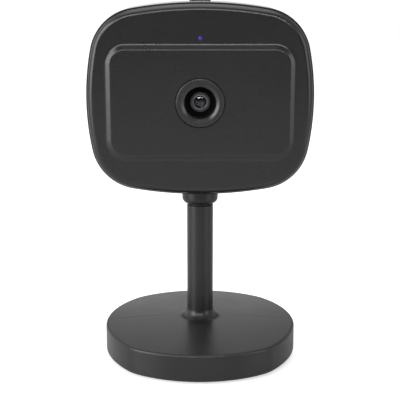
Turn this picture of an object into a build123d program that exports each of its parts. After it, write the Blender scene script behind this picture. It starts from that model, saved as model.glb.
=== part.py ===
"""Indoor security camera: a flat-faced head on a swivelling neck, a slim stem and a weighted base.

Millimetres. The origin is under the middle of the base, on the stem's axis; +Z is up and the
lens looks along -Y. "Forward" distances are measured from the stem's axis towards -Y.
"""
from build123d import *
import os
from math import atan2, cos, degrees, hypot, pi, sin, sqrt

os.makedirs("parts", exist_ok=True)

MID = Align.CENTER
LOW = Align.MIN
HIGH = Align.MAX

# ------------------------------------------------------------------ driving sizes
# Base
base_width = 59.6
base_depth = 60.6
base_side_radius = 34.8
base_corner_radius = 12.7
base_rim_height = 8.95
base_crown = 1.8
base_wall = 2.0
base_roof = 2.4
base_rim_fillet = 0.8
base_foot_chamfer = 0.7
foot_gap = 0.55
base_plate_thickness = 1.6
pad_inset = 2.6
pad_width = 6.0
pad_recess = 0.45
ballast_gap = 0.3
ballast_margin = 1.0
base_screw_inset = 4.0
base_screw_count = 3
base_post_radius = 2.6

# Stem
stem_radius = 4.05
stem_top = 47.1
stem_foot_fillet = 2.8
stem_core_radius = 2.2

# Neck and its two pivots
neck_radius = 5.5
neck_gap = 0.4
neck_edge_radius = 1.8
neck_floor = 3.3
neck_slot_floor = 6.7
tilt_axis_rise = 11.4
tilt_down_limit = 30.0
tilt_up_limit = 20.0
lug_half_width = 2.6
lug_radius = 3.6
tilt_pin_radius = 1.0
tilt_washer_thickness = 0.42
pan_screw_radius = 1.5
pan_screw_head_radius = 2.6
pan_screw_head_height = 1.7
pan_spring_height = 0.5
running_clearance = 0.05
face_clearance = 0.06
swing_clearance = 0.3

# Head: outline and depths
head_width = 66.0
head_height = 55.7
head_side_radius = 74.1
head_top_radius = 115.6
head_corner_radius = 14.45
head_floor_above_neck_pivot = 5.9
housing_front = 13.1
housing_back = -13.0
housing_back_radius = 5.0
housing_wall = 1.8
seam_gap = 0.3
cover_inset = 0.45
cover_face = 15.6
cover_edge_radius = 2.0
cover_wall = 1.6
cover_lip = 2.4
lip_clearance = 0.15
panel_side_margin = 5.8
panel_end_margin = 11.25
panel_drop = 0.5
panel_rise = 0.8
panel_bevel = 1.5
panel_corner_radius = 5.8

# Lens opening and lens
bezel_radius = 7.05
bezel_proud = 0.4
bezel_flange = 1.2
bezel_body_radius = 6.2
bezel_gap = 0.15
aperture_radius = 4.65
aperture_chamfer = 0.8
bezel_depth = 3.1
lens_tip = 13.7
lens_nose_radius = 2.85
lens_nose_length = 1.6
lens_body_radius = 4.0
lens_back = 4.6
lens_wall = 0.5
iris_radius = 0.9
holder_wall = 1.6

# Boards
board_front = 1.6
board_thickness = 1.2
board_margin = 1.4
board_hole_radius = 0.9
notch_clearance = 1.0

# Button, light, ports
button_length = 6.4
button_width = 2.0
button_proud = 0.35
button_travel = 0.45
button_back = 4.1
button_clearance = 0.12
light_below_top = 10.0
light_radius = 0.65
speaker_radius = 9.0
speaker_thickness = 4.1
grille_hole_radius = 0.6
grille_pitch = 2.1
grille_rings = 3
usb_width = 7.5
usb_height = 2.6
usb_length = 5.8
usb_shell = 0.3
card_width = 12.0
card_slot_height = 1.7
infrared_radius = 1.6

# ------------------------------------------------------------------ derived places
pivot_z = stem_top + neck_gap + tilt_axis_rise
neck_bottom = stem_top + neck_gap
head_bottom = pivot_z - head_floor_above_neck_pivot
head_z = head_bottom + head_height / 2
head_top = head_bottom + head_height
base_top = base_rim_height + base_crown
cavity_top = base_rim_height - base_roof
plate_top = foot_gap + base_plate_thickness
seam_front = housing_front + seam_gap
panel_face = cover_face + panel_rise
panel_width = head_width - 2 * panel_side_margin
panel_height = head_height - 2 * panel_end_margin
lens_z = head_z - panel_drop
bezel_front = panel_face + bezel_proud
inner_back = housing_back + housing_wall
inner_top = head_top - housing_wall
inner_bottom = head_bottom + housing_wall
board_back = board_front - board_thickness


# ------------------------------------------------------------------ shared shapes
class Oval(BaseSketchObject):
    """A four-sided oval: four flat-ish arcs joined by four tighter corner arcs, all tangent."""

    _applies_to = [BuildSketch._tag]

    def __init__(self, width, height, side_radius, top_radius, corner_radius, inset=0, mode=Mode.ADD):
        a = width / 2 - inset
        b = height / 2 - inset
        side = side_radius - inset
        top = top_radius - inset
        corner = corner_radius - inset
        side_x = a - side
        top_y = b - top
        reach_side = side - corner
        reach_top = top - corner
        span = hypot(side_x, top_y)
        along = (reach_side**2 - reach_top**2 + span**2) / (2 * span)
        across = sqrt(reach_side**2 - along**2)
        corner_x = side_x - along * side_x / span - across * top_y / span
        corner_y = along * top_y / span - across * side_x / span
        start = degrees(atan2(corner_y, corner_x - side_x))
        finish = degrees(atan2(corner_y - top_y, corner_x))
        with BuildSketch() as face:
            with BuildLine():
                CenterArc((side_x, 0), side, -start, 2 * start)
                CenterArc((corner_x, corner_y), corner, start, finish - start)
                CenterArc((0, top_y), top, finish, 180 - 2 * finish)
                CenterArc((-corner_x, corner_y), corner, 180 - finish, finish - start)
                CenterArc((-side_x, 0), side, 180 - start, 2 * start)
                CenterArc((-corner_x, -corner_y), corner, 180 + start, finish - start)
                CenterArc((0, -top_y), top, 180 + finish, 180 - 2 * finish)
                CenterArc((corner_x, -corner_y), corner, 360 - finish, finish - start)
            make_face()
        super().__init__(face.sketch, 0, None, mode)


def head_oval(inset=0, mode=Mode.ADD):
    """The head's outline, drawn in the current sketch and moved inwards by inset."""
    Oval(
        head_width, head_height, head_side_radius, head_top_radius, head_corner_radius,
        inset=inset, mode=mode,
    )


def base_oval(inset=0, mode=Mode.ADD):
    """The base's outline, drawn in the current sketch and moved inwards by inset."""
    Oval(
        base_width, base_depth, base_side_radius, base_side_radius, base_corner_radius,
        inset=inset, mode=mode,
    )


def facing(forward, z=head_z, x=0):
    """An upright plane that faces forward, at a forward distance from the stem's axis."""
    return Plane((x, -forward, z), x_dir=(1, 0, 0), z_dir=(0, -1, 0))


def screw(head_radius, head_height, shank_radius, shank_length):
    """A cross-recess screw at each current location: seat at the origin, head towards +Z."""
    Cylinder(head_radius, head_height, align=(MID, MID, LOW))
    Cylinder(shank_radius, shank_length, align=(MID, MID, HIGH))
    with Locations((0, 0, head_height)):
        slot = (head_radius * 1.1, head_radius * 0.28, head_height)
        Box(*slot, rotation=(0, 0, 0), align=MID, mode=Mode.SUBTRACT)
        Box(*slot, rotation=(0, 0, 90), align=MID, mode=Mode.SUBTRACT)


# ------------------------------------------------------------------ stand
# Base shell and stem are one moulding, hollow underneath, with screw posts and a bored stem.
crown_radius = ((base_width / 2) ** 2 + base_crown**2) / (2 * base_crown)
crown_reach = hypot(base_width, base_depth) / 2
crown_edge = base_top - crown_radius + sqrt(crown_radius**2 - crown_reach**2)
pad_radius_outer = min(base_width, base_depth) / 2 - pad_inset
pad_radius_inner = pad_radius_outer - pad_width
base_screw_circle = pad_radius_inner - base_screw_inset
flare_radius = stem_radius + stem_foot_fillet
flare_z = base_top - crown_radius + sqrt(crown_radius**2 - flare_radius**2)
stem_core_bottom = cavity_top
stem_core_top = stem_top - 1.2
pan_thread_depth = 9.0

with BuildPart() as stand:
    with BuildSketch(Plane.XY.offset(foot_gap)):
        base_oval()
    extrude(amount=base_top)
    with BuildSketch(Plane.XZ):
        with BuildLine():
            Line((0, 0), (0, base_top))
            RadiusArc((0, base_top), (crown_reach, crown_edge), crown_radius)
            Line((crown_reach, crown_edge), (crown_reach, 0))
            Line((crown_reach, 0), (0, 0))
        make_face()
    revolve(axis=Axis.Z, mode=Mode.INTERSECT)
    chamfer(stand.edges().group_by(Axis.Z)[0], base_foot_chamfer)
    rim = stand.faces().filter_by(GeomType.SPHERE).sort_by(Axis.Z)[-1].edges()
    fillet(rim, base_rim_fillet)
    with BuildSketch(Plane.XZ):
        with BuildLine():
            Line((0, base_rim_height), (0, stem_top))
            Line((0, stem_top), (stem_radius, stem_top))
            Line((stem_radius, stem_top), (stem_radius, flare_z + stem_foot_fillet))
            RadiusArc(
                (stem_radius, flare_z + stem_foot_fillet), (flare_radius, flare_z), -stem_foot_fillet
            )
            Line((flare_radius, flare_z), (flare_radius, base_rim_height))
            Line((flare_radius, base_rim_height), (0, base_rim_height))
        make_face()
    revolve(axis=Axis.Z)
    with BuildSketch(Plane.XY.offset(foot_gap)):
        base_oval(inset=base_wall)
    extrude(amount=cavity_top - foot_gap, mode=Mode.SUBTRACT)
    with BuildSketch(Plane.XY.offset(plate_top)):
        with PolarLocations(base_screw_circle, base_screw_count, start_angle=90):
            Circle(base_post_radius)
    extrude(amount=cavity_top - plate_top)
    with BuildSketch(Plane.XY.offset(plate_top)):
        with PolarLocations(base_screw_circle, base_screw_count, start_angle=90):
            Circle(board_hole_radius)
    extrude(amount=cavity_top - plate_top - 0.1, mode=Mode.SUBTRACT)
    with BuildSketch(Plane.XY.offset(stem_core_bottom)):
        Circle(stem_core_radius)
    extrude(amount=stem_core_top - stem_core_bottom, mode=Mode.SUBTRACT)
    with BuildSketch(Plane.XY.offset(stem_core_top)):
        Circle(pan_screw_radius)
    extrude(amount=stem_top - stem_core_top, mode=Mode.SUBTRACT)
stand.part.label = "base_and_stem"
export_step(stand.part, "parts/base_and_stem.step")

# Steel core moulded into the stem, tapped at the top for the pan screw.
with BuildPart() as stem_core:
    with BuildSketch(Plane.XY.offset(stem_core_bottom)):
        Circle(stem_core_radius)
    extrude(amount=stem_core_top - stem_core_bottom)
    with BuildSketch(Plane.XY.offset(stem_core_top)):
        Circle(pan_screw_radius)
    extrude(amount=-pan_thread_depth, mode=Mode.SUBTRACT)
stem_core.part.label = "stem_core"
export_step(stem_core.part, "parts/stem_core.step")

# Steel weight that keeps the stand upright, cleared around the screw posts.
with BuildPart() as ballast:
    with BuildSketch(Plane.XY.offset(plate_top + ballast_gap / 2)):
        base_oval(inset=base_wall + ballast_margin)
        with PolarLocations(base_screw_circle, base_screw_count, start_angle=90):
            Circle(base_post_radius + ballast_gap, mode=Mode.SUBTRACT)
    extrude(amount=cavity_top - plate_top - ballast_gap)
ballast.part.label = "base_weight"
export_step(ballast.part, "parts/base_weight.step")

# Plate that closes the base, grooved for the anti-slip ring.
base_screw_head_radius = 1.9
base_screw_head_height = 0.8
base_screw_length = 2.2

with BuildPart() as base_plate:
    with BuildSketch(Plane.XY.offset(foot_gap)):
        base_oval(inset=base_wall + lip_clearance)
    extrude(amount=base_plate_thickness)
    with BuildSketch(Plane.XY.offset(foot_gap)):
        Circle(pad_radius_outer)
        Circle(pad_radius_inner, mode=Mode.SUBTRACT)
    extrude(amount=pad_recess, mode=Mode.SUBTRACT)
    with Locations((0, 0, foot_gap)):
        with PolarLocations(base_screw_circle, base_screw_count, start_angle=90):
            Cylinder(
                base_screw_head_radius + 0.2, base_screw_head_height, align=(MID, MID, LOW),
                mode=Mode.SUBTRACT,
            )
            Cylinder(
                board_hole_radius + 0.2, base_plate_thickness, align=(MID, MID, LOW),
                mode=Mode.SUBTRACT,
            )
base_plate.part.label = "base_plate"
export_step(base_plate.part, "parts/base_plate.step")

with BuildPart() as base_screws:
    with PolarLocations(base_screw_circle, base_screw_count, start_angle=90):
        with Locations(Plane((0, 0, foot_gap + base_screw_head_height), z_dir=(0, 0, -1))):
            screw(base_screw_head_radius, base_screw_head_height - 0.1, board_hole_radius, base_screw_length)
base_screws.part.label = "base_screws"
export_step(base_screws.part, "parts/base_screws.step")

# Soft ring that the stand rests on.
with BuildPart() as base_pad:
    with BuildSketch():
        Circle(pad_radius_outer)
        Circle(pad_radius_inner, mode=Mode.SUBTRACT)
    extrude(amount=foot_gap + pad_recess)
base_pad.part.label = "anti_slip_ring"
export_step(base_pad.part, "parts/anti_slip_ring.step")

# ------------------------------------------------------------------ pan swivel
# The neck turns on the pan screw, pressed down on a washer by a spring washer.
neck_floor_top = neck_bottom + neck_floor
pan_spring_top = neck_floor_top + face_clearance + pan_spring_height
pan_head_well_radius = pan_screw_head_radius + swing_clearance

with BuildPart() as pan_washer:
    with BuildSketch(Plane.XY.offset(stem_top)):
        Circle(neck_radius - neck_edge_radius - 0.3)
        Circle(pan_screw_radius, mode=Mode.SUBTRACT)
    extrude(amount=neck_gap - face_clearance)
pan_washer.part.label = "pan_washer"
export_step(pan_washer.part, "parts/pan_washer.step")

with BuildPart() as pan_spring:
    with BuildSketch(Plane.XY.offset(pan_spring_top - pan_spring_height)):
        Circle(pan_screw_head_radius)
        Circle(pan_screw_radius, mode=Mode.SUBTRACT)
    extrude(amount=pan_spring_height)
pan_spring.part.label = "pan_spring_washer"
export_step(pan_spring.part, "parts/pan_spring_washer.step")

with BuildPart() as pan_screw:
    with Locations((0, 0, pan_spring_top)):
        screw(
            pan_screw_head_radius, pan_screw_head_height, pan_screw_radius,
            pan_spring_top - stem_core_top + pan_thread_depth - 0.5,
        )
pan_screw.part.label = "pan_screw"
export_step(pan_screw.part, "parts/pan_screw.step")

# ------------------------------------------------------------------ neck
# A post with a fork at its top; its crown is rounded about the tilt axis.
fork_half_gap = lug_half_width + tilt_washer_thickness + 2 * face_clearance

with BuildPart() as neck:
    with BuildSketch(Plane.XY.offset(neck_bottom)):
        Circle(neck_radius)
    extrude(amount=pivot_z + neck_radius - neck_bottom)
    with BuildSketch(Plane.YZ):
        with Locations((0, pivot_z)):
            Circle(neck_radius)
        with Locations((0, neck_bottom)):
            Rectangle(2 * neck_radius, pivot_z - neck_bottom, align=(MID, LOW))
    extrude(amount=neck_radius, both=True, mode=Mode.INTERSECT)
    fillet(neck.edges().group_by(Axis.Z)[0], neck_edge_radius)
    with Locations((0, 0, neck_bottom + neck_slot_floor)):
        Box(
            2 * fork_half_gap, 4 * neck_radius, 4 * neck_radius, align=(MID, MID, LOW),
            mode=Mode.SUBTRACT,
        )
    with BuildSketch(Plane.XY.offset(neck_floor_top)):
        Circle(pan_head_well_radius)
    extrude(amount=neck_slot_floor - neck_floor, mode=Mode.SUBTRACT)
    with BuildSketch(Plane.XY.offset(neck_bottom)):
        Circle(pan_screw_radius + running_clearance)
    extrude(amount=neck_floor, mode=Mode.SUBTRACT)
    with BuildSketch(Plane.YZ):
        with Locations((0, pivot_z)):
            Circle(tilt_pin_radius)
    extrude(amount=neck_radius, both=True, mode=Mode.SUBTRACT)
neck.part.label = "neck_fork"
export_step(neck.part, "parts/neck_fork.step")

tilt_pin_half_length = sqrt(neck_radius**2 - tilt_pin_radius**2) - 0.1

with BuildPart() as tilt_pin:
    with BuildSketch(Plane.YZ):
        with Locations((0, pivot_z)):
            Circle(tilt_pin_radius)
    extrude(amount=tilt_pin_half_length, both=True)
    chamfer(tilt_pin.edges().filter_by(GeomType.CIRCLE), 0.2)
tilt_pin.part.label = "tilt_pin"
export_step(tilt_pin.part, "parts/tilt_pin.step")

# ------------------------------------------------------------------ tilt bracket
# A bridge over the fork, screwed to two bosses beside the neck opening, with the lug below it.
bridge_bottom = pivot_z + neck_radius + swing_clearance + 0.3
bridge_thickness = 1.8
bridge_top = bridge_bottom + bridge_thickness
bridge_half_depth = 4.0
bridge_boss_radius = 2.6
bridge_boss_x = neck_radius + bridge_boss_radius + 2.4
bridge_half_length = bridge_boss_x + bridge_boss_radius
bridge_screw_head_radius = 1.8
bridge_screw_head_height = 1.2

with BuildPart() as bracket:
    with Locations((0, 0, bridge_bottom)):
        Box(
            2 * bridge_half_length, 2 * bridge_half_depth, bridge_thickness, align=(MID, MID, LOW),
        )
    with BuildSketch(Plane.YZ):
        with Locations((0, pivot_z)):
            Circle(lug_radius)
            Rectangle(2 * lug_radius, bridge_bottom - pivot_z, align=(MID, LOW))
    extrude(amount=lug_half_width, both=True)
    with BuildSketch(Plane.YZ):
        with Locations((0, pivot_z)):
            Circle(tilt_pin_radius + running_clearance)
    extrude(amount=lug_half_width, both=True, mode=Mode.SUBTRACT)
    with Locations((-bridge_boss_x, 0, bridge_bottom), (bridge_boss_x, 0, bridge_bottom)):
        Cylinder(
            board_hole_radius + 0.15, bridge_thickness, align=(MID, MID, LOW), mode=Mode.SUBTRACT,
        )
    fillet(bracket.edges().filter_by(Axis.Z).group_by(SortBy.DISTANCE)[-1], 1.2)
bracket.part.label = "tilt_bracket"
export_step(bracket.part, "parts/tilt_bracket.step")

with BuildPart() as bracket_screws:
    with Locations((-bridge_boss_x, 0, bridge_top), (bridge_boss_x, 0, bridge_top)):
        screw(bridge_screw_head_radius, bridge_screw_head_height, board_hole_radius, 7.0)
bracket_screws.part.label = "bracket_screws"
export_step(bracket_screws.part, "parts/bracket_screws.step")

with BuildPart() as tilt_washers:
    for side in (-1, 1):
        with BuildSketch(Plane.YZ.offset(side * (lug_half_width + tilt_washer_thickness / 2))):
            with Locations((0, pivot_z)):
                Circle(lug_radius - 0.2)
                Circle(tilt_pin_radius + running_clearance, mode=Mode.SUBTRACT)
        extrude(amount=tilt_washer_thickness / 2, both=True)
tilt_washers.part.label = "tilt_friction_washers"
export_step(tilt_washers.part, "parts/tilt_friction_washers.step")

# ------------------------------------------------------------------ rear housing
# Opening in the floor for the neck: long enough for the tilt both ways.
def neck_reach(limit_degrees):
    """How far along Y the tilted neck reaches where it passes the housing's outer floor."""
    limit = limit_degrees * pi / 180
    return (neck_radius + head_floor_above_neck_pivot * sin(limit)) / cos(limit) + swing_clearance


opening_front = neck_reach(tilt_down_limit)
opening_back = neck_reach(tilt_up_limit)
opening_width = 2 * (neck_radius + swing_clearance)
opening_length = opening_front + opening_back

board_inset = housing_wall + board_margin
board_top = head_top - board_inset
board_post_radius = 2.3
board_post_x = head_width / 2 - 12.2
board_post_z_low = head_bottom + 12.6
board_post_z_high = head_top - 11.2
board_post_spots = [
    (x, z) for x in (-board_post_x, board_post_x) for z in (board_post_z_low, board_post_z_high)
]
speaker_z = inner_top - speaker_radius - 3.2
grille_radius = grille_pitch * grille_rings + grille_hole_radius
usb_board_bottom = bridge_top + bridge_screw_head_height + 0.8
usb_board_thickness = 1.0
usb_z = usb_board_bottom + usb_board_thickness + usb_height / 2
usb_mouth_clearance = 0.35
card_z = head_z + 0.5
card_y = -board_back + card_slot_height / 2
mic_x = -18.0
mic_hole_radius = 0.5
mic_boot_radius = 1.5
mic_y = -board_back + mic_boot_radius + 0.3
catch_depth = 0.5
catch_height = 0.8
catch_back = housing_front - cover_lip + 1.2

with BuildPart() as housing:
    with BuildSketch(facing(housing_front)):
        head_oval()
    extrude(amount=housing_back - housing_front)
    fillet(housing.faces().sort_by(Axis.Y)[-1].edges(), housing_back_radius)
    with BuildSketch(facing(housing_front)):
        head_oval(inset=housing_wall)
    extrude(amount=inner_back + housing_back_radius - housing_wall - housing_front, mode=Mode.SUBTRACT)
    with BuildSketch(facing(inner_back + housing_back_radius - housing_wall)):
        head_oval(inset=housing_wall)
    extrude(amount=housing_wall - housing_back_radius, taper=38, mode=Mode.SUBTRACT)
    # groove inside the front rim that the cover's catches snap into
    with BuildSketch(facing(catch_back)):
        head_oval(inset=housing_wall - catch_depth)
    extrude(amount=-catch_height, mode=Mode.SUBTRACT)
    # floor opening for the neck
    with BuildSketch(Plane((0, (opening_back - opening_front) / 2, head_bottom - 1))):
        SlotOverall(opening_length, opening_width, rotation=90)
    extrude(amount=housing_wall + 2, mode=Mode.SUBTRACT)
    # bosses for the tilt bracket, rising from the floor
    with BuildSketch(Plane.XY.offset(inner_bottom - 0.3)):
        with Locations((-bridge_boss_x, 0), (bridge_boss_x, 0)):
            Circle(bridge_boss_radius)
    extrude(amount=bridge_bottom - inner_bottom + 0.3)
    with BuildSketch(Plane.XY.offset(bridge_bottom)):
        with Locations((-bridge_boss_x, 0), (bridge_boss_x, 0)):
            Circle(board_hole_radius)
    extrude(amount=-7.0, mode=Mode.SUBTRACT)
    # posts for the main board, rising from the back wall
    with BuildSketch(facing(inner_back - 0.3, 0)):
        with Locations(*board_post_spots):
            Circle(board_post_radius)
    extrude(amount=board_back - inner_back + 0.3)
    with BuildSketch(facing(board_back, 0)):
        with Locations(*board_post_spots):
            Circle(board_hole_radius)
    extrude(amount=-7.0, mode=Mode.SUBTRACT)
    # speaker grille
    with BuildSketch(facing(inner_back + 0.5, speaker_z)):
        Circle(grille_hole_radius)
        for ring in range(1, grille_rings + 1):
            with PolarLocations(grille_pitch * ring, 6 * ring):
                Circle(grille_hole_radius)
    extrude(amount=-housing_wall - 1, mode=Mode.SUBTRACT)
    # power socket opening
    with BuildSketch(facing(inner_back + 0.5, usb_z)):
        RectangleRounded(
            usb_width + 2 * usb_mouth_clearance, usb_height + 2 * usb_mouth_clearance, 0.9,
        )
    extrude(amount=-housing_wall - 1, mode=Mode.SUBTRACT)
    # memory card slot in the right-hand side
    with BuildSketch(Plane((head_width / 2 + 1, card_y, card_z), x_dir=(0, 1, 0), z_dir=(-1, 0, 0))):
        SlotOverall(card_width + card_slot_height, card_slot_height, rotation=90)
    extrude(amount=housing_wall + 3, mode=Mode.SUBTRACT)
    # button opening in the top
    with BuildSketch(Plane((0, button_back, head_top + 1))):
        SlotOverall(button_length + 2 * button_clearance, button_width + 2 * button_clearance)
    extrude(amount=-housing_wall - 2, mode=Mode.SUBTRACT)
    # microphone hole in the floor
    with BuildSketch(Plane((mic_x, mic_y, head_bottom - 1))):
        Circle(mic_hole_radius)
    extrude(amount=housing_wall + 5, mode=Mode.SUBTRACT)
housing.part.label = "rear_housing"
export_step(housing.part, "parts/rear_housing.step")

# ------------------------------------------------------------------ front cover
# Matte moulding with a raised panel, a lip that enters the housing and a snap bead on the lip.
lip_inset = housing_wall + lip_clearance
lip_wall = 1.2
cover_inner_face = cover_face - cover_wall
light_z = head_top - light_below_top
infrared_board_front = 11.8
infrared_board_thickness = 0.8
infrared_post_radius = 2.0
infrared_post_x = panel_width / 2 - 7.3
infrared_screw_length = 2.6

with BuildPart() as cover:
    with BuildSketch(facing(seam_front)):
        head_oval(inset=cover_inset)
    extrude(amount=cover_face - seam_front)
    fillet(cover.faces().sort_by(Axis.Y)[0].edges(), cover_edge_radius)
    with BuildSketch(facing(cover_face, lens_z)):
        RectangleRounded(panel_width, panel_height, panel_corner_radius)
    with BuildSketch(facing(panel_face, lens_z)):
        RectangleRounded(
            panel_width - 2 * panel_bevel, panel_height - 2 * panel_bevel,
            panel_corner_radius - panel_bevel,
        )
    loft()
    with BuildSketch(facing(seam_front)):
        head_oval(inset=lip_inset)
    extrude(amount=housing_front - cover_lip - seam_front)
    with BuildSketch(facing(catch_back - face_clearance)):
        head_oval(inset=housing_wall - catch_depth + lip_clearance)
    extrude(amount=2 * face_clearance - catch_height)
    with BuildSketch(facing(housing_front - cover_lip)):
        head_oval(inset=lip_inset + lip_wall)
    extrude(amount=cover_inner_face - housing_front + cover_lip, mode=Mode.SUBTRACT)
    with BuildSketch(facing(cover_inner_face + 0.3, lens_z)):
        with Locations((-infrared_post_x, 0), (infrared_post_x, 0)):
            Circle(infrared_post_radius)
    extrude(amount=infrared_board_front - cover_inner_face - 0.3)
    with BuildSketch(facing(infrared_board_front, lens_z)):
        with Locations((-infrared_post_x, 0), (infrared_post_x, 0)):
            Circle(board_hole_radius)
    extrude(amount=infrared_screw_length, mode=Mode.SUBTRACT)
    with BuildSketch(facing(panel_face, lens_z)):
        Circle(bezel_radius + bezel_gap)
    extrude(amount=bezel_proud - bezel_flange, mode=Mode.SUBTRACT)
    with BuildSketch(facing(panel_face, lens_z)):
        Circle(bezel_body_radius + bezel_gap)
    extrude(amount=cover_inner_face - panel_face, mode=Mode.SUBTRACT)
    with BuildSketch(facing(cover_face, light_z)):
        Circle(light_radius)
    extrude(amount=cover_inner_face - cover_face, mode=Mode.SUBTRACT)
cover.part.label = "front_cover"
export_step(cover.part, "parts/front_cover.step")

# ------------------------------------------------------------------ lens opening
lens_section = Plane((0, 0, lens_z), x_dir=(0, -1, 0), z_dir=(-1, 0, 0))
lens_axis = Axis((0, 0, lens_z), (0, -1, 0))


def turned(*points, mode=Mode.ADD):
    """Turn a profile of (forward, radius) points about the lens axis, in the current part."""
    with BuildSketch(lens_section, mode=Mode.PRIVATE) as profile:
        with BuildLine():
            Polyline(*points, close=True)
        make_face()
    revolve(profile.sketch, axis=lens_axis, mode=mode)


bezel_back = bezel_front - bezel_depth
bezel_throat_radius = aperture_radius - 0.3
bezel_outer_chamfer = 0.35

with BuildPart() as bezel:
    turned(
        (bezel_front, aperture_radius + aperture_chamfer),
        (bezel_front, bezel_radius - bezel_outer_chamfer),
        (bezel_front - bezel_outer_chamfer, bezel_radius),
        (bezel_front - bezel_flange, bezel_radius),
        (bezel_front - bezel_flange, bezel_body_radius),
        (bezel_back, bezel_body_radius),
        (bezel_back, bezel_throat_radius),
        (bezel_front - aperture_chamfer * 0.7, aperture_radius),
    )
bezel.part.label = "lens_bezel"
export_step(bezel.part, "parts/lens_bezel.step")

baffle_floor_front = bezel_back - 0.5
baffle_back = bezel_back - 1.3

with BuildPart() as baffle:
    turned(
        (bezel_back, bezel_body_radius),
        (baffle_back, bezel_body_radius),
        (baffle_back, lens_nose_radius + 0.1),
        (baffle_floor_front, lens_nose_radius + 0.1),
        (baffle_floor_front, bezel_body_radius - 0.9),
        (bezel_back, bezel_body_radius - 0.8),
    )
baffle.part.label = "lens_baffle"
export_step(baffle.part, "parts/lens_baffle.step")

# ------------------------------------------------------------------ lens
# A stepped barrel: front element behind a lock ring, an iris web, two rear elements and a spacer.
nose_bore = lens_nose_radius - 0.55
nose_back = lens_tip - lens_nose_length
iris_front = nose_back - 0.2
iris_back = iris_front - 0.6
rear_bore = lens_body_radius - lens_wall
lock_ring_depth = 0.6
lock_ring_bore = 1.75
second_back = iris_back - 2.6
third_front = second_back - 1.5

with BuildPart() as barrel:
    turned(
        (lens_tip, nose_bore),
        (lens_tip, lens_nose_radius),
        (nose_back, lens_nose_radius),
        (nose_back, lens_body_radius),
        (lens_back, lens_body_radius),
        (lens_back, rear_bore),
        (iris_back, rear_bore),
        (iris_back, iris_radius),
        (iris_front, iris_radius),
        (iris_front, nose_bore),
    )
barrel.part.label = "lens_barrel"
export_step(barrel.part, "parts/lens_barrel.step")

with BuildPart() as lock_ring:
    turned(
        (lens_tip + 0.05, nose_bore - 0.15),
        (lens_tip - 0.1, nose_bore),
        (lens_tip - lock_ring_depth, nose_bore),
        (lens_tip - lock_ring_depth, lock_ring_bore),
        (lens_tip + 0.05, nose_bore - 0.3),
    )
lock_ring.part.label = "lens_lock_ring"
export_step(lock_ring.part, "parts/lens_lock_ring.step")


def element(back, front, radius, edge):
    """A plano-convex glass element in the current part: flat at the back, domed at the front."""
    bulge = front - back - edge
    dome = (radius**2 + bulge**2) / (2 * bulge)
    with BuildSketch(lens_section, mode=Mode.PRIVATE) as profile:
        with BuildLine():
            Line((back, 0), (back, radius))
            Line((back, radius), (back + edge, radius))
            RadiusArc((back + edge, radius), (front, 0), dome)
            Line((front, 0), (back, 0))
        make_face()
    revolve(profile.sketch, axis=lens_axis)


with BuildPart() as front_element:
    element(iris_front, lens_tip - lock_ring_depth + 0.25, nose_bore, 0.75)
front_element.part.label = "front_lens_element"
export_step(front_element.part, "parts/front_lens_element.step")

with BuildPart() as second_element:
    element(second_back, iris_back - 0.15, rear_bore, 1.6)
second_element.part.label = "second_lens_element"
export_step(second_element.part, "parts/second_lens_element.step")

with BuildPart() as third_element:
    element(lens_back + 0.4, third_front - 0.1, rear_bore, 1.2)
third_element.part.label = "third_lens_element"
export_step(third_element.part, "parts/third_lens_element.step")

third_edge_front = lens_back + 0.4 + 1.2
spacer_wall = 0.4
spacer_relief = 0.25

with BuildPart() as lens_spacer:
    turned(
        (second_back, rear_bore),
        (third_edge_front, rear_bore),
        (third_edge_front + spacer_relief, rear_bore - spacer_wall),
        (second_back, rear_bore - spacer_wall),
    )
lens_spacer.part.label = "lens_spacer"
export_step(lens_spacer.part, "parts/lens_spacer.step")

# ------------------------------------------------------------------ lens holder and day/night filter
# The holder stands on the board over the sensor; the filter carrier slides across inside it.
filter_travel = 5.4
filter_window = 4.4
filter_thickness = 1.1
filter_glass_thickness = 0.6
filter_half_height = 3.2
filter_end = 2.8
filter_back = 2.7
holder_seat = lens_back - 0.1
holder_front = 10.4
holder_base_front = 5.0
holder_half_height = 5.0
holder_screw_x = filter_end + filter_travel + 3.0
holder_half_length = holder_screw_x + 2.0
holder_screw_head_radius = 1.7
cavity_half_length = filter_end + filter_travel + 0.15
coil_half_length = 5.0
coil_height = 3.6
coil_depth = 3.2
sensor_width = 6.4
sensor_height = 5.0
sensor_thickness = 0.8

with BuildPart() as holder:
    with BuildSketch(facing(board_front, lens_z)):
        RectangleRounded(2 * holder_half_length, 2 * holder_half_height, 1.2)
    extrude(amount=holder_base_front - board_front)
    with BuildSketch(facing(holder_base_front, lens_z)):
        Circle(lens_body_radius + holder_wall)
    extrude(amount=holder_front - holder_base_front)
    with BuildSketch(facing(holder_front, lens_z)):
        Circle(lens_body_radius)
    extrude(amount=holder_seat - holder_front, mode=Mode.SUBTRACT)
    with BuildSketch(facing(holder_seat, lens_z)):
        Circle(filter_window / 2 + 0.2)
    extrude(amount=filter_back - holder_seat, mode=Mode.SUBTRACT)
    with BuildSketch(facing(filter_back - 0.1, lens_z)):
        Rectangle(2 * cavity_half_length, 2 * (filter_half_height + 0.1))
    extrude(amount=filter_thickness + 0.2, mode=Mode.SUBTRACT)
    with BuildSketch(facing(board_front, lens_z)):
        Rectangle(sensor_width + 1.2, sensor_height + 1.2)
    extrude(amount=filter_back - 0.1 - board_front, mode=Mode.SUBTRACT)
    with BuildSketch(facing(board_front, lens_z)):
        with Locations((-holder_screw_x, 0), (holder_screw_x, 0)):
            Circle(board_hole_radius)
    extrude(amount=holder_base_front - board_front - 0.6, mode=Mode.SUBTRACT)
holder.part.label = "lens_holder"
export_step(holder.part, "parts/lens_holder.step")

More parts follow.
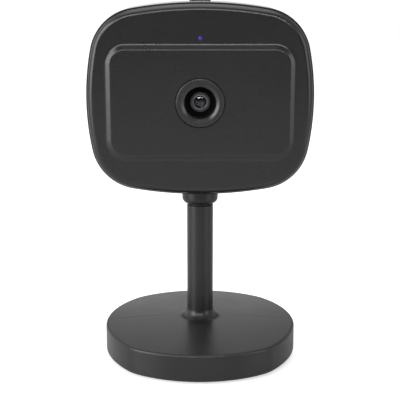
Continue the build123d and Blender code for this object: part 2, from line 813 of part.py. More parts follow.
with BuildPart() as holder_screws:
    for x in (-holder_screw_x, holder_screw_x):
        with Locations(Plane((x, -board_back, lens_z), z_dir=(0, 1, 0))):
            screw(holder_screw_head_radius, 1.0, board_hole_radius, board_thickness + 2.4)
holder_screws.part.label = "lens_holder_screws"
export_step(holder_screws.part, "parts/lens_holder_screws.step")

with BuildPart() as filter_carrier:
    with BuildSketch(facing(filter_back, lens_z)):
        with Locations((filter_end, 0)):
            Rectangle(2 * filter_end + filter_travel, 2 * filter_half_height, align=(HIGH, MID))
        with Locations((0, 0), (-filter_travel, 0)):
            Rectangle(filter_window, filter_window, mode=Mode.SUBTRACT)
    extrude(amount=filter_thickness)
filter_carrier.part.label = "filter_carrier"
export_step(filter_carrier.part, "parts/filter_carrier.step")

for name, x in (("infrared_cut_glass", 0), ("clear_glass", -filter_travel)):
    with BuildPart() as filter_glass:
        with BuildSketch(facing(filter_back + (filter_thickness - filter_glass_thickness) / 2, lens_z)):
            with Locations((x, 0)):
                Rectangle(filter_window, filter_window)
        extrude(amount=filter_glass_thickness)
    filter_glass.part.label = name
    export_step(filter_glass.part, f"parts/{name}.step")

with BuildPart() as filter_coil:
    with BuildSketch(facing(board_front, lens_z + holder_half_height)):
        Rectangle(2 * coil_half_length, coil_height, align=(MID, LOW))
    extrude(amount=coil_depth)
    fillet(filter_coil.edges().filter_by(Axis.Y), 0.8)
filter_coil.part.label = "filter_coil"
export_step(filter_coil.part, "parts/filter_coil.step")

# ------------------------------------------------------------------ main board
notch_half_width = bridge_half_length + notch_clearance
notch_top = bridge_top + bridge_screw_head_height + 0.5

with BuildPart() as main_board:
    with BuildSketch(facing(board_front)):
        head_oval(inset=board_inset)
        with Locations((0, notch_top - head_z)):
            Rectangle(2 * notch_half_width, head_height, align=(MID, HIGH), mode=Mode.SUBTRACT)
    extrude(amount=-board_thickness)
    with BuildSketch(facing(board_front, 0)):
        with Locations(*board_post_spots):
            Circle(board_hole_radius + 0.15)
        with Locations((-holder_screw_x, lens_z), (holder_screw_x, lens_z)):
            Circle(board_hole_radius + 0.15)
    extrude(amount=-board_thickness, mode=Mode.SUBTRACT)
main_board.part.label = "main_board"
export_step(main_board.part, "parts/main_board.step")

with BuildPart() as board_screws:
    for x, z in board_post_spots:
        with Locations(facing(board_front, z, x)):
            screw(1.8, 1.1, board_hole_radius, board_thickness + 5.0)
board_screws.part.label = "board_screws"
export_step(board_screws.part, "parts/board_screws.step")


def block(x, back, z, width, depth, height):
    """A block in the current part: centred on x and z, its back at a forward distance."""
    with Locations((x, -back, z)):
        Box(width, depth, height, align=(MID, HIGH, MID))


with BuildPart() as image_sensor:
    block(0, board_front, lens_z, sensor_width, sensor_thickness, sensor_height)
    chamfer(image_sensor.edges().filter_by(Axis.Y), 0.2)
image_sensor.part.label = "image_sensor"
export_step(image_sensor.part, "parts/image_sensor.step")

# ------------------------------------------------------------------ processor, its can and cooling
can_width = 18.0
can_height = 14.0
can_depth = 2.0
can_below_board_top = 7.0
can_z = board_top - can_below_board_top - can_height / 2
can_back = board_back - can_depth
pad_thickness = 0.5
spreader_width = 28.0
spreader_height = 15.0
spreader_thickness = 0.8
spreader_back = can_back - pad_thickness - spreader_thickness

with BuildPart() as shield_can:
    block(0, can_back, can_z, can_width, can_depth, can_height)
    fillet(shield_can.edges().filter_by(Axis.Y), 0.8)
shield_can.part.label = "shield_can"
export_step(shield_can.part, "parts/shield_can.step")

with BuildPart() as thermal_pad:
    block(0, can_back - pad_thickness, can_z, can_width - 3, pad_thickness, can_height - 2)
thermal_pad.part.label = "thermal_pad"
export_step(thermal_pad.part, "parts/thermal_pad.step")

with BuildPart() as heat_spreader:
    block(0, spreader_back, can_z, spreader_width, spreader_thickness, spreader_height)
    fillet(heat_spreader.edges().filter_by(Axis.Y), 1.5)
heat_spreader.part.label = "heat_spreader"
export_step(heat_spreader.part, "parts/heat_spreader.step")

# ------------------------------------------------------------------ power socket and its board
usb_mouth_y = -housing_back - 0.7
usb_board_half_width = 9.0
usb_board_back_gap = 0.6
header_depth = 2.2
header_height = 2.4

with BuildPart() as power_board:
    with Locations((0, -board_back, usb_board_bottom)):
        Box(
            2 * usb_board_half_width, -inner_back - usb_board_back_gap + board_back,
            usb_board_thickness, align=(MID, LOW, LOW),
        )
power_board.part.label = "power_board"
export_step(power_board.part, "parts/power_board.step")

with BuildPart() as board_header:
    with Locations((0, -board_back, usb_board_bottom + usb_board_thickness)):
        Box(8.0, header_depth, header_height, align=(MID, LOW, LOW))
board_header.part.label = "board_header"
export_step(board_header.part, "parts/board_header.step")

with BuildPart() as usb_receptacle:
    with BuildSketch(facing(-usb_mouth_y, usb_z)):
        Rectangle(usb_width, usb_height)
        chamfer(vertices().group_by(Axis.Y)[0], 0.7)
    extrude(amount=usb_length)
    with BuildSketch(facing(-usb_mouth_y, usb_z)):
        Rectangle(usb_width - 2 * usb_shell, usb_height - 2 * usb_shell)
        chamfer(vertices().group_by(Axis.Y)[0], 0.6)
    extrude(amount=usb_length - 0.8, mode=Mode.SUBTRACT)
    with BuildSketch(facing(-usb_mouth_y + 0.6, usb_z + 0.25)):
        Rectangle(3.8, 0.6)
    extrude(amount=usb_length - 1.0)
usb_receptacle.part.label = "usb_receptacle"
export_step(usb_receptacle.part, "parts/usb_receptacle.step")

# ------------------------------------------------------------------ memory card socket
card_socket_length = 14.4
card_socket_mouth_gap = 1.4
card_socket_depth = 1.9
card_socket_x = head_width / 2 - housing_wall - card_socket_mouth_gap - card_socket_length / 2

with BuildPart() as card_socket:
    block(
        card_socket_x, board_back - card_socket_depth, card_z,
        card_socket_length, card_socket_depth, card_width + 2,
    )
    with Locations((card_socket_x + card_socket_length / 2, card_y, card_z)):
        Box(
            card_socket_length - 1.5, card_slot_height - 0.7, card_width, align=(HIGH, MID, MID),
            mode=Mode.SUBTRACT,
        )
card_socket.part.label = "card_socket"
export_step(card_socket.part, "parts/card_socket.step")

# ------------------------------------------------------------------ antenna
antenna_width = 10.0
antenna_thickness = 0.4
antenna_post_gap = 3.1
antenna_x = -(speaker_radius + 10.5)
antenna_z = (board_post_z_low + board_post_z_high) / 2
antenna_height = board_post_z_high - board_post_z_low - 2 * (board_post_radius + antenna_post_gap)

with BuildPart() as antenna:
    block(antenna_x, inner_back, antenna_z, antenna_width, antenna_thickness, antenna_height)
antenna.part.label = "wifi_antenna"
export_step(antenna.part, "parts/wifi_antenna.step")

# ------------------------------------------------------------------ speaker
gasket_thickness = 0.6
speaker_front = inner_back + gasket_thickness
magnet_radius = 5.5
cone_radius = speaker_radius - 1.6

with BuildPart() as speaker_gasket:
    with BuildSketch(facing(inner_back, speaker_z)):
        Circle(speaker_radius)
        Circle(cone_radius, mode=Mode.SUBTRACT)
    extrude(amount=gasket_thickness)
speaker_gasket.part.label = "speaker_gasket"
export_step(speaker_gasket.part, "parts/speaker_gasket.step")

with BuildPart() as speaker:
    with BuildSketch(facing(speaker_front, speaker_z)):
        Circle(speaker_radius)
    extrude(amount=speaker_thickness / 2)
    with BuildSketch(facing(speaker_front + speaker_thickness / 2, speaker_z)):
        Circle(magnet_radius)
    extrude(amount=speaker_thickness / 2)
    with BuildSketch(facing(speaker_front, speaker_z)):
        Circle(cone_radius)
        Circle(cone_radius / 3, mode=Mode.SUBTRACT)
    extrude(amount=0.7, mode=Mode.SUBTRACT)
speaker.part.label = "speaker"
export_step(speaker.part, "parts/speaker.step")

# ------------------------------------------------------------------ push button and its switch
# The button slides down through the housing's top on to the switch's plunger.
button_flange = 0.7
button_flange_height = 0.8
button_stem_radius = 0.8
switch_top = board_top - 2.4
switch_height = 2.6
switch_width = 6.0
plunger_radius = 1.0
plunger_height = 0.8
plunger_gap = button_travel + 0.05
button_rest_top = head_top + button_proud

with BuildPart() as reset_switch:
    block(0, -button_back - 1.2, switch_top - switch_height / 2, switch_width, board_back + button_back + 1.2, switch_height)
    with Locations((0, button_back, switch_top)):
        Cylinder(plunger_radius, plunger_height, align=(MID, MID, LOW))
reset_switch.part.label = "reset_switch"
export_step(reset_switch.part, "parts/reset_switch.step")

with BuildPart() as button:
    with BuildSketch(Plane((0, button_back, button_rest_top))):
        SlotOverall(button_length, button_width)
    extrude(amount=inner_top - face_clearance - button_rest_top)
    fillet(button.edges().group_by(Axis.Z)[-1], 0.25)
    with BuildSketch(Plane((0, button_back, inner_top - face_clearance))):
        SlotOverall(button_length + 2 * button_flange, button_width + 2 * button_flange)
    extrude(amount=-button_flange_height)
    with BuildSketch(Plane((0, button_back, inner_top - face_clearance - button_flange_height))):
        Circle(button_stem_radius)
    extrude(
        amount=switch_top + plunger_height + plunger_gap
        - (inner_top - face_clearance - button_flange_height)
    )
button.part.label = "reset_button"
export_step(button.part, "parts/reset_button.step")

# ------------------------------------------------------------------ status light
lamp_height = 0.8
pipe_body_radius = 1.2
pipe_board_gap = 0.1

with BuildPart() as status_led:
    block(0, board_front, light_z, 1.6, lamp_height, 0.8)
status_led.part.label = "status_led"
export_step(status_led.part, "parts/status_led.step")

with BuildPart() as light_pipe:
    with BuildSketch(facing(cover_face, light_z)):
        Circle(light_radius)
    extrude(amount=cover_inner_face - cover_face)
    with BuildSketch(facing(cover_inner_face, light_z)):
        Circle(pipe_body_radius)
    extrude(amount=board_front + lamp_height + pipe_board_gap - cover_inner_face)
light_pipe.part.label = "light_pipe"
export_step(light_pipe.part, "parts/light_pipe.step")

# ------------------------------------------------------------------ infrared lamps
infrared_board_width = panel_width - 8.0
infrared_board_height = panel_height - 10.0
infrared_board_back = infrared_board_front - infrared_board_thickness
infrared_height = 1.6
infrared_spots = [
    (x, z) for x in (-13.5, 13.5) for z in (-infrared_board_height / 4, infrared_board_height / 4)
]

with BuildPart() as infrared_board:
    with BuildSketch(facing(infrared_board_back, lens_z)):
        RectangleRounded(infrared_board_width, infrared_board_height, 3.0)
        Circle(bezel_body_radius + 0.4, mode=Mode.SUBTRACT)
        with Locations((-infrared_post_x, 0), (infrared_post_x, 0)):
            Circle(board_hole_radius + 0.15, mode=Mode.SUBTRACT)
    extrude(amount=infrared_board_thickness)
infrared_board.part.label = "infrared_board"
export_step(infrared_board.part, "parts/infrared_board.step")

with BuildPart() as infrared_lamps:
    with BuildSketch(facing(infrared_board_front, lens_z)):
        with Locations(*infrared_spots):
            Rectangle(2.8, 2.8)
    extrude(amount=infrared_height / 2)
    with BuildSketch(facing(infrared_board_front + infrared_height / 2, lens_z)):
        with Locations(*infrared_spots):
            Circle(1.2)
    extrude(amount=infrared_height / 2)
infrared_lamps.part.label = "infrared_lamps"
export_step(infrared_lamps.part, "parts/infrared_lamps.step")

with BuildPart() as light_sensor:
    block(-bezel_body_radius - 2.8, infrared_board_front, lens_z, 2.0, 0.7, 1.3)
light_sensor.part.label = "light_sensor"
export_step(light_sensor.part, "parts/light_sensor.step")

with BuildPart() as infrared_screws:
    for x in (-infrared_post_x, infrared_post_x):
        with Locations(Plane((x, -infrared_board_back, lens_z), z_dir=(0, 1, 0))):
            screw(1.6, 1.0, board_hole_radius, infrared_board_thickness + infrared_screw_length - 0.3)
infrared_screws.part.label = "infrared_board_screws"
export_step(infrared_screws.part, "parts/infrared_board_screws.step")

# ------------------------------------------------------------------ microphone
mic_size = 3.0
mic_depth = 1.1
mic_floor_z = head_bottom + head_top_radius - sqrt(head_top_radius**2 - mic_x**2) + housing_wall
mic_boot_top = mic_floor_z + 3.4

with BuildPart() as mic_boot:
    with BuildSketch(Plane((mic_x, mic_y, mic_floor_z + 0.4))):
        Circle(mic_boot_radius)
        Circle(mic_hole_radius, mode=Mode.SUBTRACT)
    extrude(amount=mic_boot_top - mic_floor_z - 0.4)
mic_boot.part.label = "microphone_boot"
export_step(mic_boot.part, "parts/microphone_boot.step")

with BuildPart() as microphone:
    with Locations((mic_x, -board_back, mic_boot_top)):
        Box(mic_size, mic_y + mic_boot_radius + board_back, mic_depth, align=(MID, LOW, LOW))
microphone.part.label = "microphone"
export_step(microphone.part, "parts/microphone.step")
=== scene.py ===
from math import atan2, cos, hypot, pi, radians, sin, sqrt, tan

import bmesh
import bpy
from mathutils import Matrix, Vector


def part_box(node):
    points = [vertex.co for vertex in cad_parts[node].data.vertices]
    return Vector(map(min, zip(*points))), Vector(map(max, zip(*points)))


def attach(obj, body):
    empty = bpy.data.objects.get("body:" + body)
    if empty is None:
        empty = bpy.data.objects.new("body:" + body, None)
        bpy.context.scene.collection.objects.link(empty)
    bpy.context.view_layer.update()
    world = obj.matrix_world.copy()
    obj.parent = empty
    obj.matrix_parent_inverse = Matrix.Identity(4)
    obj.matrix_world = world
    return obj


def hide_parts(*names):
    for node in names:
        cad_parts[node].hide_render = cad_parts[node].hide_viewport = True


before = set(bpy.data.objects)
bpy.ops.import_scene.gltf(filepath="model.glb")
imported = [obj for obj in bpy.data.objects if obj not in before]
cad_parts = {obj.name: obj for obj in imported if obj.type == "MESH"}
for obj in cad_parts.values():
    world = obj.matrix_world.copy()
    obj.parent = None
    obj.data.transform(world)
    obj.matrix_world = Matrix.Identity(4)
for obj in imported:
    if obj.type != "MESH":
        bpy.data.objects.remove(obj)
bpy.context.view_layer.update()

# ------------------------------------------------------------------ base and stem
# One black moulding: a low domed foot of four-sided oval outline with a slim round stem on it.
# It has a fine satin texture, and its mould halves meet in a hairline groove that crosses the dome, with
# painted shade darkening the groove.
def extent(node):
    """The lowest and highest corners of a CAD part, in millimetres."""
    return [[1000 * value for value in corner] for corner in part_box(node)]


BASE = dict(width=59.6, height=60.6, side_radius=34.8, top_radius=34.8, corner_radius=12.7)
BASE_FOOT = extent("base_and_stem")[0][2]
BASE_RIM = 8.95
BASE_CROWN = 1.8
BASE_WALL = 2.0
BASE_CEILING = 6.55
RIM_ROUND = 0.8
STEM_RADIUS = 4.05
STEM_TOP = extent("base_and_stem")[1][2]
STEM_FLARE = 2.8
STEM_BORE = 2.2
SEAM_HALF_WIDTH = 0.09
SEAM_DEPTH = 0.05
POST_CIRCLE = 17.2
POST_RADIUS = 2.6
SCREW_HOLE = 0.9
ARC_STEPS = (14, 22, 16)


def whole_turn(quarter, top):
    """Mirror the first quarter of an outline into a whole turn, starting at its right-hand side."""
    side = quarter[0][0]
    rest = quarter[1:]
    turn = quarter + [(0.0, top)] + [(-x, y) for x, y in reversed(rest)]
    turn += [(-side, 0.0)] + [(-x, -y) for x, y in rest]
    return turn + [(0.0, -top)] + [(x, -y) for x, y in reversed(rest)]


def arc_points(centre, radius, first, last, count):
    """Points along an arc, without its last one."""
    turns = [first + (last - first) * i / count for i in range(count)]
    return [(centre[0] + radius * cos(t), centre[1] + radius * sin(t)) for t in turns]


def oval(width, height, side_radius, top_radius, corner_radius, inset=0.0):
    """An outline of four nearly flat arcs joined by four tighter ones, all tangent."""
    side = side_radius - inset
    top = top_radius - inset
    corner = corner_radius - inset
    side_x = width / 2 - side_radius
    top_y = height / 2 - top_radius
    reach_side = side - corner
    reach_top = top - corner
    span = hypot(side_x, top_y)
    along = (reach_side**2 - reach_top**2 + span**2) / (2 * span)
    across = sqrt(reach_side**2 - along**2)
    corner_x = side_x - along * side_x / span - across * top_y / span
    corner_y = along * top_y / span - across * side_x / span
    start = atan2(corner_y, corner_x - side_x)
    finish = atan2(corner_y - top_y, corner_x)
    quarter = arc_points((side_x, 0), side, 0.0, start, ARC_STEPS[0])
    quarter += arc_points((corner_x, corner_y), corner, start, finish, ARC_STEPS[1])
    quarter += arc_points((0, top_y), top, finish, pi / 2, ARC_STEPS[2])
    return whole_turn(quarter, height / 2 - inset)


def blend_outlines(first, last, share):
    """The outline part of the way from one outline to another with as many points."""
    return [(a + (c - a) * share, b + (d - b) * share) for (a, b), (c, d) in zip(first, last)]


def skin(bm, rows, closed=False):
    """Join rows of as many points each with quads; closed joins the last row to the first."""
    made = [[bm.verts.new(point) for point in row] for row in rows]
    pairs = list(zip(made, made[1:] + made[:1])) if closed else list(zip(made, made[1:]))
    for low, high in pairs:
        for i in range(len(low)):
            j = (i + 1) % len(low)
            bm.faces.new((low[i], low[j], high[j], high[i]))
    return made


def shaped(name, bm, crease=34.0):
    """Turn a closed shape drawn in millimetres into an object with its faces outward."""
    bmesh.ops.remove_doubles(bm, verts=bm.verts, dist=1e-5)
    bmesh.ops.recalc_face_normals(bm, faces=bm.faces)
    mesh = bpy.data.meshes.new(name)
    bm.to_mesh(mesh)
    bm.free()
    mesh.shade_smooth()
    mesh.set_sharp_from_angle(angle=radians(crease))
    piece = bpy.data.objects.new(name, mesh)
    bpy.context.collection.objects.link(piece)
    return piece


def applied(piece):
    """Replace a piece's mesh by the result of its modifiers, and remove them."""
    bpy.context.view_layer.update()
    evaluated = piece.evaluated_get(bpy.context.evaluated_depsgraph_get())
    mesh = bpy.data.meshes.new_from_object(evaluated)
    piece.modifiers.clear()
    old = piece.data
    piece.data = mesh
    bpy.data.meshes.remove(old)
    return piece


def machined(piece, tool, operation="DIFFERENCE", crease=34.0):
    """Cut a tool out of a piece, or weld it on, and remove the tool."""
    cut = piece.modifiers.new("cut", "BOOLEAN")
    cut.operation = operation
    cut.solver = "EXACT"
    cut.object = tool
    applied(piece)
    bpy.data.objects.remove(tool)
    piece.data.shade_smooth()
    piece.data.set_sharp_from_angle(angle=radians(crease))
    return piece


def to_metres(piece, material):
    """Even out the shading, scale the drawing to metres and give the piece its one finish."""
    even = piece.modifiers.new("even", "WEIGHTED_NORMAL")
    even.keep_sharp = True
    applied(piece)
    piece.data.transform(Matrix.Scale(0.001, 4))
    piece.data.materials.clear()
    piece.data.materials.append(material)
    return piece


def round_outline(radius, sides):
    """Points round a circle, starting at its right-hand side."""
    return [(radius * cos(2 * pi * i / sides), radius * sin(2 * pi * i / sides)) for i in range(sides)]


def rod(bm, x, y, low, high, radius, sides=40):
    """An upright closed rod in the drawing."""
    ring = [(x + u, y + v) for u, v in round_outline(radius, sides)]
    bottom, top = skin(bm, [[(u, v, low) for u, v in ring], [(u, v, high) for u, v in ring]])
    bm.faces.new(bottom)
    bm.faces.new(top)


def add(tree, kind, inputs=None, **settings):
    """Add a node with its settings, and set or link its inputs by name or number."""
    made = tree.nodes.new(kind)
    for key, value in settings.items():
        setattr(made, key, value)
    for key, value in (inputs or {}).items():
        if isinstance(value, bpy.types.NodeSocket):
            tree.links.new(value, made.inputs[key])
        else:
            made.inputs[key].default_value = value
    return made


def maths(tree, operation, first, second=0.0, clamp=False):
    """One step of arithmetic on a value."""
    return add(
        tree, "ShaderNodeMath", {0: first, 1: second}, operation=operation, use_clamp=clamp
    ).outputs[0]


def new_group(name, inputs, outputs):
    """An empty shader group with named sockets."""
    tree = bpy.data.node_groups.new(name, "ShaderNodeTree")
    for label, kind, value in inputs:
        socket = tree.interface.new_socket(label, in_out="INPUT", socket_type=kind)
        socket.default_value = value
    for label, kind in outputs:
        tree.interface.new_socket(label, in_out="OUTPUT", socket_type=kind)
    return tree, add(tree, "NodeGroupInput").outputs, add(tree, "NodeGroupOutput").inputs


def moulded_texture():
    """Spark-eroded plastic: fine grain, cloudy tone, flow streaks and a drifting polish."""
    tree, given, result = new_group(
        "moulded_texture",
        [
            ("Grain mm", "NodeSocketFloat", 0.3), ("Cloud mm", "NodeSocketFloat", 9.0),
            ("Mottle", "NodeSocketFloat", 0.1)
        ],
        [("Height", "NodeSocketFloat"), ("Tone", "NodeSocketFloat"), ("Polish", "NodeSocketFloat")],
    )
    place = add(tree, "ShaderNodeTexCoord").outputs["Object"]
    fine = maths(tree, "DIVIDE", 1000.0, given["Grain mm"])
    broad = maths(tree, "DIVIDE", 1000.0, given["Cloud mm"])
    grain = add(
        tree, "ShaderNodeTexNoise", {"Vector": place, "Scale": fine, "Detail": 3.0, "Roughness": 0.6}
    )
    pits = add(
        tree, "ShaderNodeTexVoronoi", {"Vector": place, "Scale": fine, "Smoothness": 0.6},
        feature="SMOOTH_F1"
    )
    tree.links.new(
        maths(tree, "ADD", grain.outputs[0], maths(tree, "MULTIPLY", pits.outputs[0], 0.45)),
        result["Height"]
    )
    cloud = add(
        tree, "ShaderNodeTexNoise", {"Vector": place, "Scale": broad, "Detail": 4.0, "Roughness": 0.55}
    )
    drawn = add(tree, "ShaderNodeMapping", {"Vector": place, "Scale": (0.35, 1.0, 3.2)})
    streak = add(tree, "ShaderNodeTexNoise", {"Vector": drawn.outputs[0], "Scale": broad, "Detail": 2.0})
    mixed = maths(
        tree, "ADD", maths(tree, "MULTIPLY", cloud.outputs[0], 0.65),
        maths(tree, "MULTIPLY", streak.outputs[0], 0.35)
    )
    centred = maths(tree, "MULTIPLY", maths(tree, "SUBTRACT", mixed, 0.5), given["Mottle"])
    tree.links.new(maths(tree, "ADD", 1.0, maths(tree, "MULTIPLY", centred, 2.0)), result["Tone"])
    tree.links.new(
        maths(tree, "MULTIPLY", maths(tree, "SUBTRACT", cloud.outputs[0], 0.5), 0.12), result["Polish"]
    )
    return tree


def handled_edges():
    """Where an edge is rubbed by handling: a mask that follows the sharp edges unevenly."""
    tree, given, result = new_group(
        "handled_edges",
        [("Width mm", "NodeSocketFloat", 0.25), ("Amount", "NodeSocketFloat", 0.5)],
        [("Mask", "NodeSocketFloat")],
    )
    radius = maths(tree, "MULTIPLY", given["Width mm"], 0.001)
    rounded = add(tree, "ShaderNodeBevel", {"Radius": radius}, samples=4)
    true_normal = add(tree, "ShaderNodeNewGeometry").outputs["Normal"]
    near = add(
        tree, "ShaderNodeVectorMath", {0: rounded.outputs[0], 1: true_normal}, operation="DOT_PRODUCT"
    )
    turned = maths(tree, "MULTIPLY", maths(tree, "SUBTRACT", 1.0, near.outputs["Value"]), 5.0, clamp=True)
    place = add(tree, "ShaderNodeTexCoord").outputs["Object"]
    patchy = add(tree, "ShaderNodeTexNoise", {"Vector": place, "Scale": 420.0, "Detail": 3.0})
    worn = maths(tree, "MULTIPLY", turned, maths(tree, "MULTIPLY", patchy.outputs[0], given["Amount"]))
    tree.links.new(worn, result["Mask"])
    return tree


def settled_dust():
    """Fine dust: a mask of specks that lies on faces turned upwards."""
    tree, given, result = new_group(
        "settled_dust",
        [("Speck mm", "NodeSocketFloat", 0.9), ("Amount", "NodeSocketFloat", 0.5)],
        [("Mask", "NodeSocketFloat")],
    )
    coords = add(tree, "ShaderNodeTexCoord").outputs
    up = add(tree, "ShaderNodeSeparateXYZ", {0: coords["Normal"]}).outputs["Z"]
    density = maths(tree, "DIVIDE", 1000.0, given["Speck mm"])
    speck = add(tree, "ShaderNodeTexVoronoi", {"Vector": coords["Object"], "Scale": density})
    dot = maths(
        tree, "MULTIPLY", maths(tree, "SUBTRACT", 0.13, speck.outputs["Distance"]), 14.0, clamp=True
    )
    veil = add(tree, "ShaderNodeTexNoise", {"Vector": coords["Object"], "Scale": 60.0, "Detail": 5.0})
    spread = maths(tree, "ADD", maths(tree, "MULTIPLY", veil.outputs[0], 0.12), dot)
    tree.links.new(
        maths(
            tree, "MULTIPLY", maths(tree, "MULTIPLY", spread, given["Amount"]),
            maths(tree, "MAXIMUM", up, 0.0)
        ),
        result["Mask"],
    )
    return tree


TEXTURE = moulded_texture()
EDGES = handled_edges()
DUST = settled_dust()


def mixed_colour(tree, share, first, second):
    """A colour part of the way between two others."""
    mix = add(tree, "ShaderNodeMix", data_type="RGBA")
    for socket, value in ((mix.inputs["Factor"], share), (mix.inputs[6], first), (mix.inputs[7], second)):
        if isinstance(value, bpy.types.NodeSocket):
            tree.links.new(value, socket)
        else:
            socket.default_value = value
    return mix.outputs[2]


def plastic(
    name, colour, roughness, grain=0.3, depth=0.02, cloud=9.0, mottle=0.12, dust=0.05, wear=0.3, painted_seam_shade=False,
    **sockets
):
    """A moulded plastic: colour with mottle, rubbed edges, dust and a grain of the given size; on request,
    a line of painted shade along the mould seam.
    """
    material = bpy.data.materials.new(name)
    material.use_nodes = True
    tree = material.node_tree
    shader = tree.nodes["Principled BSDF"]
    for key, value in sockets.items():
        shader.inputs[key].default_value = value
    texture = add(tree, "ShaderNodeGroup", node_tree=TEXTURE)
    texture.inputs["Grain mm"].default_value = grain
    texture.inputs["Cloud mm"].default_value = cloud
    texture.inputs["Mottle"].default_value = mottle
    edges = add(tree, "ShaderNodeGroup", node_tree=EDGES)
    edges.inputs["Amount"].default_value = wear
    specks = add(tree, "ShaderNodeGroup", node_tree=DUST)
    specks.inputs["Amount"].default_value = dust
    flat = (*colour, 1.0)
    light = tuple(min(1.0, c * 3.0 + 0.03) for c in colour) + (1.0,)
    toned = add(
        tree, "ShaderNodeVectorMath", {0: flat[:3], "Scale": texture.outputs["Tone"]}, operation="SCALE"
    )
    rubbed = mixed_colour(tree, edges.outputs["Mask"], toned.outputs[0], light)
    dust_and_seam_shade = mixed_colour(tree, specks.outputs["Mask"], rubbed, (0.42, 0.41, 0.39, 1.0))
    height = texture.outputs["Height"]
    # Painted shade: a hairline of darker colour along the mould seam stands in for the shade in its groove.
    if painted_seam_shade:
        across = add(tree, "ShaderNodeSeparateXYZ", {0: add(tree, "ShaderNodeTexCoord").outputs["Object"]})
        line = maths(
            tree, "MULTIPLY",
            maths(tree, "SUBTRACT", 0.00014, maths(tree, "ABSOLUTE", across.outputs["Y"])), 9000.0,
            clamp=True
        )
        dust_and_seam_shade = mixed_colour(tree, maths(tree, "MULTIPLY", line, 0.55), dust_and_seam_shade, (0.004, 0.004, 0.004, 1.0))
    tree.links.new(dust_and_seam_shade, shader.inputs["Base Color"])
    matt = maths(
        tree, "ADD", maths(tree, "MULTIPLY", specks.outputs["Mask"], 0.4),
        maths(tree, "ADD", roughness, texture.outputs["Polish"]), clamp=True
    )
    tree.links.new(matt, shader.inputs["Roughness"])
    bump = add(tree, "ShaderNodeBump", {"Strength": 1.0, "Distance": depth * 0.001, "Height": height})
    tree.links.new(bump.outputs[0], shader.inputs["Normal"])
    return material


def crown(x, y):
    """Height of the domed top over a point of the base."""
    radius = ((BASE["width"] / 2) ** 2 + BASE_CROWN**2) / (2 * BASE_CROWN)
    return BASE_RIM + BASE_CROWN - radius + sqrt(radius**2 - x * x - y * y)


def split_at_seam(outline):
    """Add a point each side of the two where the mould halves meet."""
    half = len(outline) // 2
    width = min(SEAM_HALF_WIDTH, 0.4 * outline[1][1])
    right, left = outline[0], outline[half]
    turn = [right, (right[0], width)] + outline[1:half] + [(left[0], width), left, (left[0], -width)]
    return turn + outline[half + 1:] + [(right[0], -width)]


def level(outline, z):
    """An outline of the base laid at one height."""
    return [(x, y, z) for x, y in split_at_seam(outline)]


bearing = [atan2(y, x) for x, y in oval(**BASE)]


def ring_about_stem(radius):
    """A circle about the stem with its points in line with those of the base's outline."""
    return [(radius * cos(t), radius * sin(t)) for t in bearing]


rows = [level(oval(**BASE, inset=BASE_WALL), BASE_FOOT)]
for inset, rise in ((0.85, 0.0), (0.72, 0.025), (0.6, 0.1), (0.1, 0.6), (0.025, 0.71), (0.0, 0.87)):
    rows.append(level(oval(**BASE, inset=inset), BASE_FOOT + rise))
shoulder = oval(**BASE, inset=RIM_ROUND)
for step in range(9):
    turn = radians(83.0) * step / 8
    edge = oval(**BASE, inset=RIM_ROUND * (1 - cos(turn)))
    rows.append([
        (x, y, crown(u, v) + RIM_ROUND * (sin(turn) - 1) + 0.006)
        for (x, y), (u, v) in zip(split_at_seam(edge), split_at_seam(shoulder))
    ])
flare = STEM_RADIUS + STEM_FLARE
half_turn = len(bearing) // 2 + 2
for step in range(1, 15):
    outline = blend_outlines(shoulder, ring_about_stem(flare), step / 14)
    row = [[x, y, crown(x, y)] for x, y in split_at_seam(outline)]
    for i in (0, half_turn):
        row[i][2] -= SEAM_DEPTH * min(1.0, (14 - step) / 3)
    rows.append(row)
flare_z = crown(flare, 0)
for step in range(1, 13):
    turn = pi / 2 * step / 12
    rows.append(
        level(ring_about_stem(flare - STEM_FLARE * sin(turn)), flare_z + STEM_FLARE * (1 - cos(turn)))
    )
for z in (20.0, 29.0, 38.0, STEM_TOP - 0.3):
    rows.append(level(ring_about_stem(STEM_RADIUS), z))
for turn in (0.4, 0.9, pi / 2):
    rows.append(
        level(ring_about_stem(STEM_RADIUS - 0.3 * (1 - cos(turn))), STEM_TOP - 0.3 * (1 - sin(turn)))
    )
for radius, z in (
    (1.5, STEM_TOP), (1.5, STEM_TOP - 1.2), (STEM_BORE, STEM_TOP - 1.2), (STEM_BORE, BASE_CEILING)
):
    rows.append(level(ring_about_stem(radius), z))
rows.append(level(oval(**BASE, inset=BASE_WALL), BASE_CEILING))
bm = bmesh.new()
skin(bm, rows, closed=True)
stand = shaped("stand_moulding", bm)
posts = bmesh.new()
holes = bmesh.new()
for i in range(3):
    bearing_of_post = pi / 2 + i * 2 * pi / 3
    spot = (POST_CIRCLE * cos(bearing_of_post), POST_CIRCLE * sin(bearing_of_post))
    rod(posts, *spot, 2.15, BASE_CEILING + 0.7, POST_RADIUS)
    rod(holes, *spot, 1.5, BASE_CEILING - 0.1, SCREW_HOLE)
machined(stand, shaped("posts", posts), "UNION")
machined(stand, shaped("holes", holes))
# The stand's finish paints shade along its mould seam.
SATIN_BLACK = plastic(
    "satin_black_moulding", (0.0125, 0.0125, 0.013), 0.33, grain=0.32, depth=0.012, cloud=11.0, mottle=0.25,
    dust=0.03, wear=0.22,
    painted_seam_shade=True, **{"IOR": 1.43},
)
to_metres(stand, SATIN_BLACK)
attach(stand, "stand")
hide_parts("base_and_stem")

